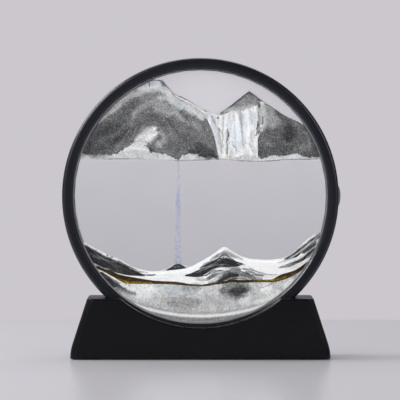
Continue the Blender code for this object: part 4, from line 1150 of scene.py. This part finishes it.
def ridge_streaks(x, z, guide):
    """Distance from a ridge line, and fine streaks from 0 to 1 that run along it."""
    line = smooth_line(guide)
    slope = (line(x + 1.0) - line(x - 1.0)) / 2.0
    below = (z - line(x)) / np.hypot(1.0, slope)
    fine = clouds(x * 0.08, below, 0.62, 25)
    broad = clouds(x * 0.14, below, 1.1, 26)
    return below, step_between(0.22, 0.78, 0.6 * fine + 0.4 * broad)


def bed_greys(grey, x, z):
    """Bands along the wall at the bottom of the bed, and fine streaks that fan out from its middle."""
    out = np.hypot(x, z - FAN_CENTRE_Z)
    band = np.hypot(x, z - BAND_CENTRE_Z)
    angle = np.degrees(np.arctan2(-z, x))
    streaks = clouds(angle * 0.8, out * 0.12, 1.0, 10)
    fan = step_between(*FAN_RADII, out) * step_between(*FAN_START, angle) * step_between(*FAN_END, angle)
    grey = grey - FAN_STRENGTH * fan * (streaks - 0.25)
    # The palest band is partly painted light, whiter than its sand against the lip's shade
    for radius, width, value in BED_BANDS:
        cover = step_between(width, width * 0.4, np.abs(band - radius))
        grey = grey + (value - grey) * cover
    return grey


def set_values(mesh, name, values):
    mesh.attributes.new(name, "FLOAT", "POINT").data.foreach_set("value", values.astype(np.float32))


def stratum(name, layer, ends, floor, roof, crest=0.0, depth=(-FILL_HALF_DEPTH, FILL_HALF_DEPTH)):
    """A closed fine mesh between a floor line and a roof line, from pane to pane or over a given depth.

    Crest is how far its top drops from the middle towards the panes.
    """
    ragged_floor, ragged_roof = RAGGED.get(layer, (0.0, 0.0))
    left, right = ends
    x = np.linspace(left, right, max(int((right - left) / COLUMN_PITCH), 8) + 1)
    low = floor(x) + ragged_floor * (clouds(x, 0.0, 0.7, 11) + clouds(x, 0.0, 2.1, 12) - 1.0)
    high = roof(x) + ragged_roof * mottle(x, 0.0, 0.8, 13)
    low = np.maximum(low, -wall_height(x))
    high = np.minimum(high, wall_height(x))
    thick = np.flatnonzero(high - low > THINNEST)
    x, low, high = (line[thick[0]:thick[-1] + 1] for line in (x, low, high))
    high = np.maximum(high, low + THINNEST)
    near, far = depth
    middle = (near + far) / 2.0
    half = (far - near) / 2.0
    drop = np.minimum(crest(x) if callable(crest) else crest, (high - low) * MOST_DROP)
    rows = max(int((high - low).max() / COLUMN_PITCH), 3)
    outline = [(near, low + (high - drop - low) * share) for share in np.linspace(0.0, 1.0, rows + 1)]
    for share in np.linspace(0.0, 1.0, TOP_ROWS + 1)[1:-1]:
        across = 2.0 * share - 1.0
        ripple = CREST_RIPPLE * np.minimum(drop, 1.0) * mottle(x, across * half, 1.8, 14)
        outline.append((middle + across * half, high - drop * across ** 2 + ripple))
    for share in np.linspace(1.0, 0.0, max(rows // 2, 2) + 1):
        outline.append((far, low + (high - drop - low) * share))
    for share in np.linspace(1.0, 0.0, FLOOR_ROWS + 1)[1:-1]:
        place = near + (far - near) * share
        ripple = ragged_floor * mottle(x, place, 1.0, 15)
        outline.append((place, np.minimum(low + ripple, high - THINNEST)))
    x = np.repeat(x[:, None], len(outline), axis=1)
    y = np.repeat([[place for place, line in outline]], len(x), axis=0)
    z = np.stack([line for place, line in outline], axis=1)
    inward = GRAIN_RELIEF * clouds(x, z, 0.9, 16)
    at_face = half * FACE_SHARE
    y = np.where(y < middle - at_face, y + inward, np.where(y > middle + at_face, y - inward, y))
    vertices = np.stack([x * MM, y * MM, (z + DISC_AXIS_Z) * MM], axis=2).reshape(-1, 3)
    piece = mesh_object(name, vertices.tolist(), skin(len(x), len(outline)))
    shade_smooth(piece, SAND_SHARP)
    return piece


def sand_piece(node, slot, sand, *shape, **options):
    piece = stratum(node + "_grains", node, *shape, **options)
    paint_sand(piece, node)
    dress(piece, "sand_disc", sand, slot, node)


def make_fallen_sand(sand):
    ridge = smooth_line(DUNE_RIDGE)
    crest_underside = smooth_line(CREST_UNDERSIDE)
    drift_top = smooth_line(DRIFT_TOP)
    right_underside = smooth_line(RIGHT_DUNE_UNDERSIDE)
    gold_top = smooth_line(GOLD_TOP)
    gold_underside = smooth_line(GOLD_UNDERSIDE)
    hill_top = smooth_line(HILL_TOP)
    across = (-FILL_RADIUS, FILL_RADIUS)
    hill_start, hill_end = ends_of(HILL_TOP)
    right_tip = ends_of(RIGHT_DUNE_UNDERSIDE)[0]

    def crest_roof(x):
        return np.where(x < right_tip, ridge(x), np.minimum(ridge(x), right_underside(x)))

    def crest_drop(x):
        return CREST_DROP * step_between(right_tip, right_tip - CREST_FADE, x)

    def drift_roof(x):
        in_band = np.zeros(x.shape, bool)
        for band in (LEFT_DUNE_TOP, PEAK_BAND_TOP, SLOPE_BAND_TOP):
            left, right = ends_of(band)
            in_band |= (x > left) & (x < right)
        return np.where(in_band, drift_top(x), crest_underside(x))

    def drift_floor(x):
        inside = (x > hill_start) & (x < hill_end)
        return np.where(inside, np.maximum(gold_top(x), hill_top(x)), gold_top(x))

    sand_piece("white_bed", "white_sand", sand, across, lambda x: -wall_height(x), gold_underside)
    sand_piece("gold_layer", "gold_sand", sand, across, gold_underside, gold_top)
    sand_piece("near_hill", "black_sand", sand, (hill_start, hill_end), gold_top, hill_top)
    sand_piece("white_drift", "white_sand", sand, across, drift_floor, drift_roof)
    for node, band in (("left_dune", LEFT_DUNE_TOP), ("peak_band", PEAK_BAND_TOP),
                       ("slope_band", SLOPE_BAND_TOP)):
        sand_piece(node, "black_sand", sand, ends_of(band), drift_top, crest_underside)
    sand_piece("white_crest", "white_sand", sand, across, crest_underside, crest_roof, crest=crest_drop)
    sand_piece("right_dune", "black_sand", sand, (right_tip, FILL_RADIUS), right_underside, ridge,
               crest=CREST_DROP)
    sand_piece("fallen_heap", "black_sand", sand, ends_of(HEAP_TOP), ridge, smooth_line(HEAP_TOP),
               crest=CREST_DROP, depth=(HEAP_INSET, FILL_HALF_DEPTH - HEAP_INSET))


def make_held_sand(sand):
    left_ridge = smooth_line(LEFT_MASS_RIDGE)
    curtain_top = smooth_line(CURTAIN_TOP)
    curtain_floor = smooth_line(CURTAIN_UNDERSIDE)
    curtain_start = ends_of(CURTAIN_TOP)[0]
    curtain_foot = ends_of(LEFT_MASS_RIDGE)[1]
    joint = MASS_JOINT_X * DRAWING_SCALE

    def left_drop(x):
        return HELD_DROP * step_between(curtain_start, curtain_start - HELD_FADE, x)

    def curtain_low(x):
        return np.where(x < curtain_foot, left_ridge(x), curtain_floor(x))

    sand_piece("held_left_sand", "black_sand", sand, ends_of(LEFT_MASS_RIDGE),
               smooth_line(LEFT_MASS_UNDERSIDE), left_ridge, crest=left_drop)
    sand_piece("held_curtain", "white_sand", sand, (curtain_start, joint), curtain_low, curtain_top)
    sand_piece("held_peak", "black_sand", sand, (ends_of(PEAK_TOP)[0], joint), curtain_top,
               smooth_line(PEAK_TOP), crest=HELD_DROP)
    sand_piece("held_right_sand", "black_sand", sand, (joint, ends_of(RIGHT_MASS_RIDGE)[1]),
               smooth_line(RIGHT_MASS_UNDERSIDE), smooth_line(RIGHT_MASS_RIDGE), crest=HELD_DROP)


def make_bubble_layer(sand):
    """Pale sand and bubbles that lie under the held sand, down to the wavy edge of the air."""
    left_under = smooth_line(LEFT_MASS_UNDERSIDE)
    curtain_under = smooth_line(CURTAIN_UNDERSIDE)
    right_under = smooth_line(RIGHT_MASS_UNDERSIDE)
    left_end = ends_of(LEFT_MASS_UNDERSIDE)[1]
    right_start = ends_of(RIGHT_MASS_UNDERSIDE)[0]
    half_depth = FILL_HALF_DEPTH - BUBBLE_RECESS

    def roof(x):
        middle = np.minimum(curtain_under(x), BUBBLE_TOP)
        under = np.where(x < left_end, left_under(x), np.where(x < right_start, middle, right_under(x)))
        return under + BUBBLE_OVERLAP

    ends = (-BUBBLE_HALF_WIDTH, BUBBLE_HALF_WIDTH)
    piece = stratum("held_bubbles", "held_bubbles", ends, smooth_line(MENISCUS), roof,
                    depth=(-half_depth, half_depth))
    paint_sand(piece, "held_bubbles")
    dress(piece, "sand_disc", sand, "white_sand")


def make_stream(material):
    """The thin fall of grains from the funnel in the left mass down to the heap."""
    top, foot = from_photo([STREAM_TOP, STREAM_FOOT])
    vertices = []
    density = []
    for step in range(STREAM_STEPS + 1):
        share = step / STREAM_STEPS
        x, z = top + (foot - top) * share
        x += STREAM_WANDER * mottle(share * WANDERS_ALONG, 0.0, 1.0, 17)
        radius = STREAM_RADIUS + STREAM_SPREAD * share
        radius += STREAM_SWELL * clouds(share * SWELLS_ALONG, 0.0, 1.0, 18)
        cover = (STREAM_COVER + DENSE_COVER * math.exp(-((share - DENSE_PLACE) / DENSE_LENGTH) ** 2)
                 + FOOT_COVER * share ** 3)
        for side in range(STREAM_SIDES):
            angle = 2.0 * math.pi * side / STREAM_SIDES
            vertices.append(((x + radius * math.cos(angle)) * MM, (STREAM_Y + radius * math.sin(angle)) * MM,
                             (z + DISC_AXIS_Z) * MM))
            density.append(cover)
    piece = mesh_object("falling_grains", vertices, skin(STREAM_STEPS + 1, STREAM_SIDES))
    shade_smooth(piece)
    set_values(piece.data, "fall", np.array(density))
    dress(piece, "sand_disc", material, "white_sand")


# Studio


def make_world():
    """An even pale backdrop, a dim room in front, and soft light from all around."""
    world = bpy.data.worlds.new("studio")
    bpy.context.scene.world = world
    world.use_nodes = True
    tree = world.node_tree
    tree.nodes.clear()

    def background(colour, level=1.0):
        return add_node(tree, "ShaderNodeBackground", {"Color": colour, "Strength": level}).outputs[0]

    path = add_node(tree, "ShaderNodeLightPath").outputs
    direction = add_node(tree, "ShaderNodeTexCoord").outputs["Generated"]
    parts = add_node(tree, "ShaderNodeSeparateXYZ", {"Vector": direction})
    behind = map_range(tree, parts.outputs["Y"], *ROOM_BLEND)
    reflected = mix_colours(tree, behind, rgba(ROOM_IN_FRONT), rgba(ROOM_BEHIND))
    seen = calculate(tree, "MAXIMUM", path["Is Camera Ray"], path["Is Transmission Ray"])
    unseen = mix_shaders(tree, path["Is Glossy Ray"], background(rgba(AMBIENT), AMBIENT_LEVEL),
                         background(reflected))
    surface = mix_shaders(tree, seen, unseen, background(rgba(BACKDROP)))
    add_node(tree, "ShaderNodeOutputWorld", {"Surface": surface})


def make_floor():
    material, tree = new_material("floor")
    fine = noise(tree, *FLOOR_TEXTURE)
    shade = mix_colours(tree, fine, *shades(FLOOR_COLOUR, FLOOR_SHADES))
    finish_principled(tree, shade, FLOOR_ROUGHNESS)
    corners = [(-FLOOR_HALF_WIDTH, FLOOR_NEAR, 0.0), (FLOOR_HALF_WIDTH, FLOOR_NEAR, 0.0),
               (FLOOR_HALF_WIDTH, FLOOR_FAR, 0.0), (-FLOOR_HALF_WIDTH, FLOOR_FAR, 0.0)]
    floor = mesh_object("floor", corners, [(0, 1, 2, 3)])
    floor.data.materials.append(material)


def add_lamp(name, place, width, height, power):
    lamp = bpy.data.lights.new(name, "AREA")
    lamp.shape = "RECTANGLE"
    lamp.size = width
    lamp.size_y = height
    lamp.energy = power
    holder = add_object(name, lamp)
    holder.location = place
    away = np.array(LAMP_TARGET) - np.array(place)
    holder.rotation_euler = (math.atan2(math.hypot(away[0], away[1]), -away[2]), 0.0,
                             math.atan2(away[1], away[0]) - math.pi / 2.0)


def make_camera():
    data = bpy.data.cameras.new("camera")
    data.lens = CAMERA_LENS
    data.sensor_width = CAMERA_SENSOR
    data.sensor_fit = "HORIZONTAL"
    camera = add_object("camera", data)
    camera.location = CAMERA_PLACE
    camera.rotation_euler = (CAMERA_TILT, 0.0, 0.0)
    bpy.context.scene.camera = camera


# Scene


def make_finishes():
    """All materials of the solids and bezels, by name."""
    finishes = {name: make_plastic(name, *look) for name, look in PLASTICS.items()}
    finishes.update({name: make_clear(name, *look) for name, look in CLEARS.items()})
    finishes.update({name: make_silicone(name, *look) for name, look in SILICONES.items()})
    finishes["foot_foam"] = make_foam()
    finishes["screw_steel"] = make_steel()
    return finishes


def build():
    scene = bpy.context.scene
    scene.view_settings.view_transform = "Standard"
    scene.cycles.transparent_max_bounces = CLEAR_SURFACES
    make_camera()
    make_world()
    make_floor()
    for lamp in LAMPS:
        add_lamp(*lamp)
    finishes = make_finishes()
    for node, solid in frame["nodes"].items():
        for start, finish in FINISHES.items():
            if node.startswith(start):
                paint(solid, finishes[finish])
    make_bezels(finishes["black_plastic"], finishes["black_plastic_edges"])
    sand = make_sand()
    make_fallen_sand(sand)
    make_held_sand(sand)
    make_bubble_layer(sand)
    make_stream(make_stream_material())


build()
